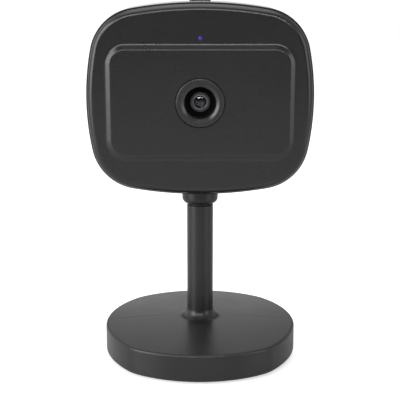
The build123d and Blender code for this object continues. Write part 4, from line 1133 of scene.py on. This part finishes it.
def softened(points):
    """A closed profile of (forward, radius, rounding) corners with each corner rounded."""
    profile = []
    for i, (f, r, rounding) in enumerate(points):
        before = Vector(points[i - 1][:2]) - Vector((f, r))
        after = Vector(points[(i + 1) % len(points)][:2]) - Vector((f, r))
        if rounding == 0.0:
            profile.append((f, r))
            continue
        opening = before.angle(after)
        reach = rounding / tan(opening / 2)
        start = Vector((f, r)) + before.normalized() * reach
        end = Vector((f, r)) + after.normalized() * reach
        for k in range(6):
            share = k / 5
            bend = start * (1 - share) ** 2 + Vector((f, r)) * 2 * share * (1 - share) + end * share**2
            profile.append((bend.x, bend.y))
    return profile


AXIS_GAP = 1e-4


def turned(name, points, crease=34.0):
    """A piece turned about the lens axis, from closed points (forward, radius, edge rounding)."""
    bm = bmesh.new()
    rows = [
        [(u, -f, LENS_Z + v) for u, v in round_outline(max(r, AXIS_GAP), TURN_STEPS)]
        for f, r in softened(points)
    ]
    skin(bm, rows, closed=True)
    bmesh.ops.remove_doubles(bm, verts=bm.verts, dist=2.5e-4)
    return shaped(name, bm, crease)


def dome(back, front, radius, edge, steps=14):
    """The profile of a glass element that is flat at the back and domed at the front."""
    bulge = front - back - edge
    curve = (radius**2 + bulge**2) / (2 * bulge)
    profile = [
        (back, 0.0, 0.0), (back, radius - 0.06, 0.0), (back + 0.06, radius, 0.0), (back + edge, radius, 0.0)
    ]
    for i in range(1, steps + 1):
        r = radius * (1 - i / steps)
        profile.append((front - curve + sqrt(curve**2 - r * r), r, 0.0))
    return profile


def coated_glass(name, tint, coating):
    """Optical glass with an anti-reflection coating, whose reflected colour is painted into the glass
    colour, growing towards the rim.
    """
    material = bpy.data.materials.new(name)
    material.use_nodes = True
    tree = material.node_tree
    shader = tree.nodes["Principled BSDF"]
    shader.inputs["Transmission Weight"].default_value = 1.0
    shader.inputs["IOR"].default_value = 1.55
    shader.inputs["Coat Weight"].default_value = 0.05
    shader.inputs["Specular IOR Level"].default_value = 0.15
    shader.inputs["Coat Tint"].default_value = (*coating, 1.0)
    painted_reflection_slant = add(tree, "ShaderNodeLayerWeight", {"Blend": 0.35})
    smear = add(
        tree, "ShaderNodeTexNoise",
        {"Vector": add(tree, "ShaderNodeTexCoord").outputs["Object"], "Scale": 900.0, "Detail": 3.0}
    )
    # Painted reflection: the coating's reflected colour is mixed into the glass colour at glancing angles.
    edge = mixed_colour(tree, painted_reflection_slant.outputs["Facing"], (*tint, 1.0), (*coating, 1.0))
    tree.links.new(edge, shader.inputs["Base Color"])
    tree.links.new(maths(tree, "MULTIPLY", smear.outputs[0], 0.03), shader.inputs["Roughness"])
    return material


ANODISED = metal(
    "black_anodised", (0.055, 0.055, 0.06), (0.035, 0.035, 0.037), 0.34, line=0.1, patch=3.0, depth=0.004,
    metallic=0.75
)
LOCK_RING_BLACK = metal(
    "lock_ring_black", (0.2, 0.2, 0.21), (0.12, 0.12, 0.13), 0.3, line=0.05, patch=1.2, depth=0.002,
    metallic=0.85
)
# Both glasses carry a painted coating reflection towards their rims.
LENS_GLASS = coated_glass("coated_lens_glass", (0.3, 0.3, 0.31), (0.25, 0.26, 0.3))
FILTER_GLASS = coated_glass("blue_green_filter", (0.35, 0.72, 0.78), (0.8, 0.3, 0.35))

barrel = turned("lens_barrel_turned", [
    (13.7, 2.3, 0.08), (13.7, 2.85, 0.14), (13.25, 2.85, 0.0), (13.15, 2.72, 0.0), (13.05, 2.72, 0.0),
    (12.95, 2.85, 0.0),
    (12.1, 2.85, 0.1), (12.1, 4.0, 0.15), (4.6, 4.0, 0.15), (4.6, 3.5, 0.05), (11.3, 3.5, 0.0),
    (11.3, 0.95, 0.0),
    (11.6, 0.9, 0.0), (11.9, 0.95, 0.0), (11.9, 2.3, 0.0),
])
to_metres(barrel, ANODISED)
lock_ring = turned("lens_lock_ring_turned", [
    (13.1, 2.3, 0.0), (13.1, 1.75, 0.0), (13.35, 1.78, 0.04), (13.72, 1.98, 0.06), (13.75, 2.13, 0.06),
    (13.6, 2.3, 0.03),
])
to_metres(lock_ring, LOCK_RING_BLACK)
front_element = turned("front_element_glass", dome(11.9, 13.35, 2.3, 0.75), crease=50.0)
second_element = turned("second_element_glass", dome(8.7, 11.15, 3.5, 1.6), crease=50.0)
third_element = turned("third_element_glass", dome(5.0, 7.1, 3.5, 1.2), crease=50.0)
for part, node, slot in (
    (barrel, "lens_barrel", "anodised_black"), (lock_ring, "lens_lock_ring", "ring_black"),
    (front_element, "front_lens_element", "lens_glass"),
    (second_element, "second_lens_element", "lens_glass"),
    (third_element, "third_lens_element", "lens_glass"),
):
    if slot == "lens_glass":
        to_metres(part, LENS_GLASS)
    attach(part, "head")
    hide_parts(node)
repaint("lens_spacer", ANODISED)
repaint("clear_glass", LENS_GLASS)
repaint("infrared_cut_glass", FILTER_GLASS)

# ------------------------------------------------------------------ front cover
# A matte moulding with a generously rounded edge, set a hair inside the housing's rim, and a low
# raised panel. The panel's foot runs out in a hollow curve and its top edge is lightly rounded.
SEAM_FRONT = -13.4
COVER_FACE = -15.6
COVER_INSET = 0.45
COVER_ROUND = 2.0
PANEL = dict(width=54.4, height=33.2, radius=5.8)
PANEL_RISE = 0.8
PANEL_BEVEL = 1.5
PANEL_FOOT_ROUND = 0.55
PANEL_EDGE_ROUND = 0.28
BEZEL_SEAT = (7.2, 6.35)
COVER_INNER_FACE = -14.0
LIP_BACK = -10.7
LIP_INSET = 1.95
LIP_WALL = 1.2
LAMP_BOARD_POSTS = 19.9
LAMP_BOARD_FRONT = -11.8
LIGHT_Z = (extent("light_pipe")[0][2] + extent("light_pipe")[1][2]) / 2
LIGHT_RADIUS = 0.65


def matched_rectangle(inset):
    """The panel's outline moved inwards, with its points matched to the oval's."""
    a, b, r = PANEL["width"] / 2 - inset, PANEL["height"] / 2 - inset, PANEL["radius"] - inset
    quarter = [(a, (b - r) * i / ARC_STEPS[0]) for i in range(ARC_STEPS[0])]
    quarter += arc_points((a - r, b - r), r, 0.0, pi / 2, ARC_STEPS[1])
    quarter += [((a - r) * (1 - i / ARC_STEPS[2]), b) for i in range(ARC_STEPS[2])]
    return whole_turn(quarter, b)


def matched_circle(radius):
    """A circle with its points matched to the panel's."""
    quarter = arc_points((0, 0), radius, 0.0, pi / 2, sum(ARC_STEPS))
    return whole_turn(quarter, radius)


def panel_section():
    """Steps across the panel's border, as (inset from its foot, rise)."""
    slope = atan2(PANEL_RISE, PANEL_BEVEL)
    steps = []
    for i in range(8):
        share = i / 7
        across = -PANEL_FOOT_ROUND + 2 * PANEL_FOOT_ROUND * share
        steps.append((across, tan(slope) * PANEL_FOOT_ROUND * share**2))
    for i in range(8):
        share = i / 7
        across = PANEL_BEVEL - PANEL_EDGE_ROUND + 2 * PANEL_EDGE_ROUND * share
        steps.append((across, PANEL_RISE - tan(slope) * PANEL_EDGE_ROUND * (1 - share) ** 2))
    return steps


rows = []
for radius, y in (
    (BEZEL_SEAT[1], COVER_INNER_FACE), (BEZEL_SEAT[1], COVER_FACE), (BEZEL_SEAT[0], COVER_FACE)
):
    rows.append(upright(matched_circle(radius), y, LENS_Z))
for spread in (0.0, 0.04, 0.12):
    rows.append(
        upright(
            matched_circle(BEZEL_SEAT[0] + spread),
            COVER_FACE - PANEL_RISE + 0.12 * (1 - spread / 0.12) ** 2, LENS_Z
        )
    )
for share in (0.3, 0.65):
    rows.append(
        upright(
            blend_outlines(
                matched_circle(BEZEL_SEAT[0] + 0.12), matched_rectangle(PANEL_BEVEL + PANEL_EDGE_ROUND),
                share
            ),
            COVER_FACE - PANEL_RISE, LENS_Z
        )
    )
for across, rise in reversed(panel_section()):
    rows.append(upright(matched_rectangle(across), COVER_FACE - rise, LENS_Z))
inner_edge = oval(**HEAD, inset=COVER_INSET + COVER_ROUND)
lifted_panel = [(u, v + LENS_Z - HEAD_Z) for u, v in matched_rectangle(-PANEL_FOOT_ROUND)]
for share in (0.35, 0.7):
    rows.append(upright(blend_outlines(lifted_panel, inner_edge, share), COVER_FACE))
for step in range(15):
    turn = pi / 2 * step / 14
    inset = COVER_INSET + COVER_ROUND * (1 - sin(turn))
    rows.append(upright(oval(**HEAD, inset=inset), COVER_FACE + COVER_ROUND * (1 - cos(turn))))
rows.append(upright(oval(**HEAD, inset=COVER_INSET), SEAM_FRONT - 0.06))
rows.append(upright(oval(**HEAD, inset=COVER_INSET + 0.06), SEAM_FRONT))
for inset, y in (
    (LIP_INSET, SEAM_FRONT), (LIP_INSET, LIP_BACK - 0.2), (LIP_INSET + 0.2, LIP_BACK),
    (LIP_INSET + LIP_WALL, LIP_BACK),
    (LIP_INSET + LIP_WALL, COVER_INNER_FACE + 0.3), (LIP_INSET + LIP_WALL + 0.3, COVER_INNER_FACE),
):
    rows.append(upright(oval(**HEAD, inset=inset), y))
inner_face = oval(**HEAD, inset=LIP_INSET + LIP_WALL + 0.3)
seat = [(u, v + LENS_Z - HEAD_Z) for u, v in matched_circle(BEZEL_SEAT[1])]
rows.append(upright(blend_outlines(inner_face, seat, 0.5), COVER_INNER_FACE))
bm = bmesh.new()
skin(bm, rows, closed=True)
cover = shaped("matte_front_cover", bm, crease=40.0)
tools = bmesh.new()
LAMP_POST_RADIUS = 2.0
LAMP_POST_BORE = SCREW_HOLE / LAMP_POST_RADIUS
ring = round_outline(LAMP_POST_RADIUS, 36)
for x in (-LAMP_BOARD_POSTS, LAMP_BOARD_POSTS):
    ends = skin(
        tools,
        [[(x + u, y, LENS_Z + v) for u, v in ring] for y in (COVER_INNER_FACE - 0.5, LAMP_BOARD_FRONT)]
    )
    tools.faces.new(ends[0])
    tools.faces.new(ends[-1])
machined(cover, shaped("cover_posts", tools), "UNION", crease=40.0)
tools = bmesh.new()
for x in (-LAMP_BOARD_POSTS, LAMP_BOARD_POSTS):
    ends = skin(
        tools,
        [
            [(x + u * LAMP_POST_BORE, y, LENS_Z + v * LAMP_POST_BORE) for u, v in ring]
            for y in (LAMP_BOARD_FRONT - 2.4, LAMP_BOARD_FRONT + 1)
        ]
    )
    tools.faces.new(ends[0])
    tools.faces.new(ends[-1])
ends = skin(tools, [
    [(r / LAMP_POST_RADIUS * u, y, LIGHT_Z + r / LAMP_POST_RADIUS * v) for u, v in ring]
    for r, y in (
        (LIGHT_RADIUS + 0.5, COVER_FACE - 0.42), (LIGHT_RADIUS + 0.08, COVER_FACE),
        (LIGHT_RADIUS, COVER_FACE + 0.08), (LIGHT_RADIUS, COVER_INNER_FACE + 1)
    )
])
tools.faces.new(ends[0])
tools.faces.new(ends[-1])
machined(cover, shaped("cover_holes", tools), crease=40.0)
MATTE_BLACK = plastic(
    "matte_black_cover", (0.0115, 0.0116, 0.012), 0.23, grain=0.26, depth=0.006, cloud=12.0, mottle=0.14,
    dust=0.02, wear=0.12,
    **{"IOR": 1.45},
)
to_metres(cover, MATTE_BLACK)
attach(cover, "head")
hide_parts("front_cover")

# ------------------------------------------------------------------ lens bezel and baffle
# A satin ring pressed into the panel, standing just proud of it, with a rounded outer edge and a
# wide chamfer round the opening. A dead black stepped baffle behind it kills stray light.
bezel = turned("satin_lens_bezel", [
    (16.8, 5.5, 0.1), (16.8, 6.75, 0.25), (16.42, 7.05, 0.12), (15.6, 7.05, 0.0), (15.6, 6.2, 0.0),
    (13.7, 6.2, 0.0), (13.7, 4.35, 0.0), (16.2, 4.65, 0.12),
])
BEZEL_BLACK = plastic(
    "bezel_black", (0.014, 0.014, 0.0145), 0.27, grain=0.2, depth=0.005, cloud=5.0, mottle=0.1, dust=0.0,
    wear=0.25, **{"IOR": 1.48}
)
to_metres(bezel, BEZEL_BLACK)
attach(bezel, "head")
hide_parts("lens_bezel")
baffle = turned("stepped_lens_baffle", [
    (13.7, 6.2, 0.0), (12.4, 6.2, 0.0), (12.4, 2.95, 0.0), (13.2, 2.95, 0.05), (13.2, 3.5, 0.0),
    (13.1, 3.55, 0.0), (13.1, 3.9, 0.0),
    (13.2, 3.95, 0.0), (13.2, 4.5, 0.0), (13.1, 4.55, 0.0), (13.1, 4.9, 0.0), (13.2, 4.95, 0.0),
    (13.2, 5.3, 0.0), (13.7, 5.4, 0.0),
])
BAFFLE_BLACK = plastic(
    "baffle_black", (0.0015, 0.0015, 0.0016), 0.75, grain=0.15, depth=0.01, cloud=2.0, mottle=0.3, dust=0.0,
    wear=0.0, **{"IOR": 1.15}
)
to_metres(baffle, BAFFLE_BLACK)
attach(baffle, "head")
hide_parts("lens_baffle")

# ------------------------------------------------------------------ status light
# A clear light guide carries the violet-blue light of a small lamp on the board to a round
# window above the panel. The window is slightly domed and glows most in its middle.
def glowing(name, middle, rim, strength, reach):
    """Clear resin lit from within, brightest on the light's axis."""
    material = bpy.data.materials.new(name)
    material.use_nodes = True
    tree = material.node_tree
    shader = tree.nodes["Principled BSDF"]
    shader.inputs["Emission Strength"].default_value = strength
    shader.inputs["Coat Weight"].default_value = 0.05
    shader.inputs["Specular IOR Level"].default_value = 0.15
    place = add(tree, "ShaderNodeTexCoord").outputs["Object"]
    centred = add(tree, "ShaderNodeMapping", {"Vector": place, "Location": (0.0, 0.0, -LIGHT_Z * 0.001)})
    parts = add(tree, "ShaderNodeSeparateXYZ", {0: centred.outputs[0]})
    flat = add(tree, "ShaderNodeCombineXYZ", {"X": parts.outputs["X"], "Z": parts.outputs["Z"]})
    away = add(tree, "ShaderNodeVectorMath", {0: flat.outputs[0]}, operation="LENGTH").outputs["Value"]
    cloudy = add(tree, "ShaderNodeTexNoise", {"Vector": place, "Scale": 2600.0, "Detail": 2.0})
    share = maths(
        tree, "ADD", maths(tree, "DIVIDE", away, reach), maths(tree, "MULTIPLY", cloudy.outputs[0], 0.15),
        clamp=True
    )
    colour = mixed_colour(tree, share, (*middle, 1.0), (*rim, 1.0))
    tree.links.new(colour, shader.inputs["Emission Color"])
    tree.links.new(colour, shader.inputs["Base Color"])
    tree.links.new(
        maths(tree, "ADD", 0.2, maths(tree, "MULTIPLY", cloudy.outputs[0], 0.2)), shader.inputs["Roughness"]
    )
    return material


bm = bmesh.new()
profile = [
    (-15.6, 0.0005), (-15.59, 0.25), (-15.54, 0.48), (-15.45, 0.6), (-15.3, 0.63), (-14.0, 0.63),
    (-14.0, 1.2), (-2.7, 1.2), (-2.5, 1.05), (-2.5, 0.0005)
]
GUIDE_SIDES = 40
rows = [[(u, y, LIGHT_Z + v) for u, v in round_outline(r, GUIDE_SIDES)] for y, r in profile]
made = skin(bm, rows)
bm.faces.new(made[0])
bm.faces.new(made[-1])
guide = shaped("status_light_guide", bm)
LIT_RESIN = glowing("lit_resin", (0.07, 0.035, 0.3), (0.015, 0.008, 0.09), 0.24, 0.0011)
to_metres(guide, LIT_RESIN)
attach(guide, "head")
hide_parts("light_pipe")
repaint("status_led", LIT_RESIN)
CLEAR_RESIN = plastic(
    "clear_resin", (0.55, 0.53, 0.48), 0.12, grain=0.6, depth=0.002, cloud=1.5, mottle=0.1, dust=0.0,
    wear=0.0, **{"Coat Weight": 0.6}
)
repaint("infrared_lamps", CLEAR_RESIN)
repaint("light_sensor", CLEAR_RESIN)

# ------------------------------------------------------------------ top button
# A small satin pill that stands just proud of the head's top. A flange under the skin keeps it
# in, and its stem presses the switch below.
BUTTON_FOOT, BUTTON_TOP = (corner[2] for corner in extent("reset_button"))
BUTTON = (6.4, 2.0)
BUTTON_ROUND = 0.3
FLANGE_TOP = HEAD_TOP - 1.86

rows = []
for spread, z in ((-0.95, BUTTON_TOP - 0.03), (-0.6, BUTTON_TOP - 0.01)):
    rows.append([(u, BUTTON_Y + v, z) for u, v in pill(*BUTTON, spread)])
for step in range(7):
    turn = pi / 2 * step / 6
    spread, z = -BUTTON_ROUND * (1 - sin(turn)), BUTTON_TOP - BUTTON_ROUND * (1 - cos(turn))
    rows.append([(u, BUTTON_Y + v, z) for u, v in pill(*BUTTON, spread)])
for spread, z in ((0.0, FLANGE_TOP), (0.65, FLANGE_TOP), (0.7, FLANGE_TOP - 0.05), (0.7, FLANGE_TOP - 0.8)):
    rows.append([(u, BUTTON_Y + v, z) for u, v in pill(*BUTTON, spread)])
stem = [
    (0.8 * cos(2 * pi * i / 30 - pi / 2), 0.8 * sin(2 * pi * i / 30 - pi / 2))
    for i in range(len(pill(*BUTTON)))
]
for z in (FLANGE_TOP - 0.8, BUTTON_FOOT):
    rows.append([(u, BUTTON_Y + v, z) for u, v in stem])
bm = bmesh.new()
made = skin(bm, rows)
bm.faces.new(made[0])
bm.faces.new(made[-1])
button = shaped("top_button", bm)
BUTTON_BLACK = plastic(
    "button_black", (0.018, 0.018, 0.019), 0.38, grain=0.2, depth=0.006, cloud=2.0, mottle=0.12, dust=0.08,
    wear=0.4
)
to_metres(button, BUTTON_BLACK)
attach(button, "button")
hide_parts("reset_button")

# ------------------------------------------------------------------ floor, light and camera
# A plain white floor under soft studio light: a broad light on the left, a weaker one on the
# right, one overhead and a narrow strip in front. Behind is a pale surround with a black flag at
# each side, which keeps the glossy edges dark.
FLOOR_REACH = 3.0
FLOOR_GLOW = 0.56
BACKDROP_GLOW = 1.05
FRONT_GLOW, BACK_GLOW = 0.1, 1.0
LEFT_GLOW, RIGHT_GLOW = 1.2, 0.55
FLAG_INNER_EDGE = (0.1, 0.32)
FLAG_OUTER_EDGE = (0.36, 0.6)
FLAG_SHADE = 0.78
CAMERA_LENS = 85.426
CAMERA_PLACE = (-0.00077, -0.28718, 0.11416)
CAMERA_PITCH = 12.931
CAMERA_YAW = -0.15

bm = bmesh.new()
bmesh.ops.create_circle(bm, cap_ends=True, segments=96, radius=FLOOR_REACH)
floor_mesh = bpy.data.meshes.new("studio_floor")
bm.to_mesh(floor_mesh)
bm.free()
floor = bpy.data.objects.new("studio_floor", floor_mesh)
bpy.context.collection.objects.link(floor)
floor_finish = bpy.data.materials.new("white_floor")
floor_finish.use_nodes = True
paint = floor_finish.node_tree.nodes["Principled BSDF"]
paint.inputs["Base Color"].default_value = (0.62, 0.62, 0.62, 1.0)
paint.inputs["Roughness"].default_value = 0.3
paint.inputs["Emission Color"].default_value = (1.0, 1.0, 1.0, 1.0)
seen = add(floor_finish.node_tree, "ShaderNodeLightPath").outputs["Is Camera Ray"]
floor_finish.node_tree.links.new(
    maths(floor_finish.node_tree, "MULTIPLY", seen, FLOOR_GLOW), paint.inputs["Emission Strength"]
)
floor_mesh.materials.append(floor_finish)

world = bpy.data.worlds.new("studio_surround")
bpy.context.scene.world = world
world.use_nodes = True
tree = world.node_tree
tree.nodes.clear()
direction = add(
    tree, "ShaderNodeSeparateXYZ", {0: add(tree, "ShaderNodeTexCoord").outputs["Generated"]}
).outputs
behind = add(
    tree, "ShaderNodeMapRange", {0: direction["Y"], 1: -0.95, 2: -0.3, 3: FRONT_GLOW, 4: BACK_GLOW},
    interpolation_type="SMOOTHSTEP"
).outputs[0]
leftward = add(
    tree, "ShaderNodeMapRange", {0: direction["X"], 1: -1.0, 2: 1.0, 3: LEFT_GLOW, 4: RIGHT_GLOW}
).outputs[0]
sideways = maths(tree, "ABSOLUTE", direction["X"], 0.0)
flag_starts = add(
    tree, "ShaderNodeMapRange",
    {0: sideways, 1: FLAG_INNER_EDGE[0], 2: FLAG_INNER_EDGE[1], 3: 0.0, 4: FLAG_SHADE},
    interpolation_type="SMOOTHSTEP"
).outputs[0]
flag_ends = add(
    tree, "ShaderNodeMapRange", {0: sideways, 1: FLAG_OUTER_EDGE[0], 2: FLAG_OUTER_EDGE[1], 3: 1.0, 4: 0.0},
    interpolation_type="SMOOTHSTEP"
).outputs[0]
unflagged = maths(tree, "SUBTRACT", 1.0, maths(tree, "MULTIPLY", flag_starts, flag_ends))
surround = maths(tree, "MULTIPLY", maths(tree, "MULTIPLY", behind, leftward), unflagged)
seen = add(tree, "ShaderNodeLightPath").outputs["Is Camera Ray"]
strength = maths(tree, "MAXIMUM", surround, maths(tree, "MULTIPLY", seen, BACKDROP_GLOW))
background = add(tree, "ShaderNodeBackground", {"Color": (1.0, 1.0, 1.0, 1.0), "Strength": strength})
add(tree, "ShaderNodeOutputWorld", {"Surface": background.outputs[0]})


def softbox(name, place, aim, size, power):
    """A rectangular soft light that points at a spot on the object."""
    light = bpy.data.lights.new(name, "AREA")
    light.shape = "RECTANGLE"
    light.size, light.size_y = size
    light.energy = power
    lamp = bpy.data.objects.new(name, light)
    bpy.context.collection.objects.link(lamp)
    lamp.location = place
    lamp.rotation_euler = (Vector(aim) - Vector(place)).to_track_quat("-Z", "Y").to_euler()
    lamp.visible_camera = False


softbox("left_softbox", (-0.72, -0.42, 0.3), (0.0, 0.0, 0.06), (0.5, 0.8), 6.4)
softbox("right_softbox", (0.75, -0.45, 0.14), (0.0, 0.0, 0.06), (0.4, 0.7), 2.1)
softbox("top_softbox", (0.0, 0.05, 0.75), (0.0, 0.0, 0.0), (0.7, 0.6), 2.4)
softbox("front_strip", (-0.08, -0.72, 0.46), (0.0, 0.0, 0.09), (1.0, 0.1), 3.8)

camera_data = bpy.data.cameras.new("studio_camera")
camera_data.lens = CAMERA_LENS
camera_data.sensor_width = 36.0
camera_data.clip_start = 0.01
camera = bpy.data.objects.new("studio_camera", camera_data)
bpy.context.collection.objects.link(camera)
camera.location = CAMERA_PLACE
camera.rotation_euler = (radians(90.0 - CAMERA_PITCH), 0.0, radians(CAMERA_YAW))
bpy.context.scene.camera = camera
bpy.context.scene.view_settings.view_transform = "Standard"
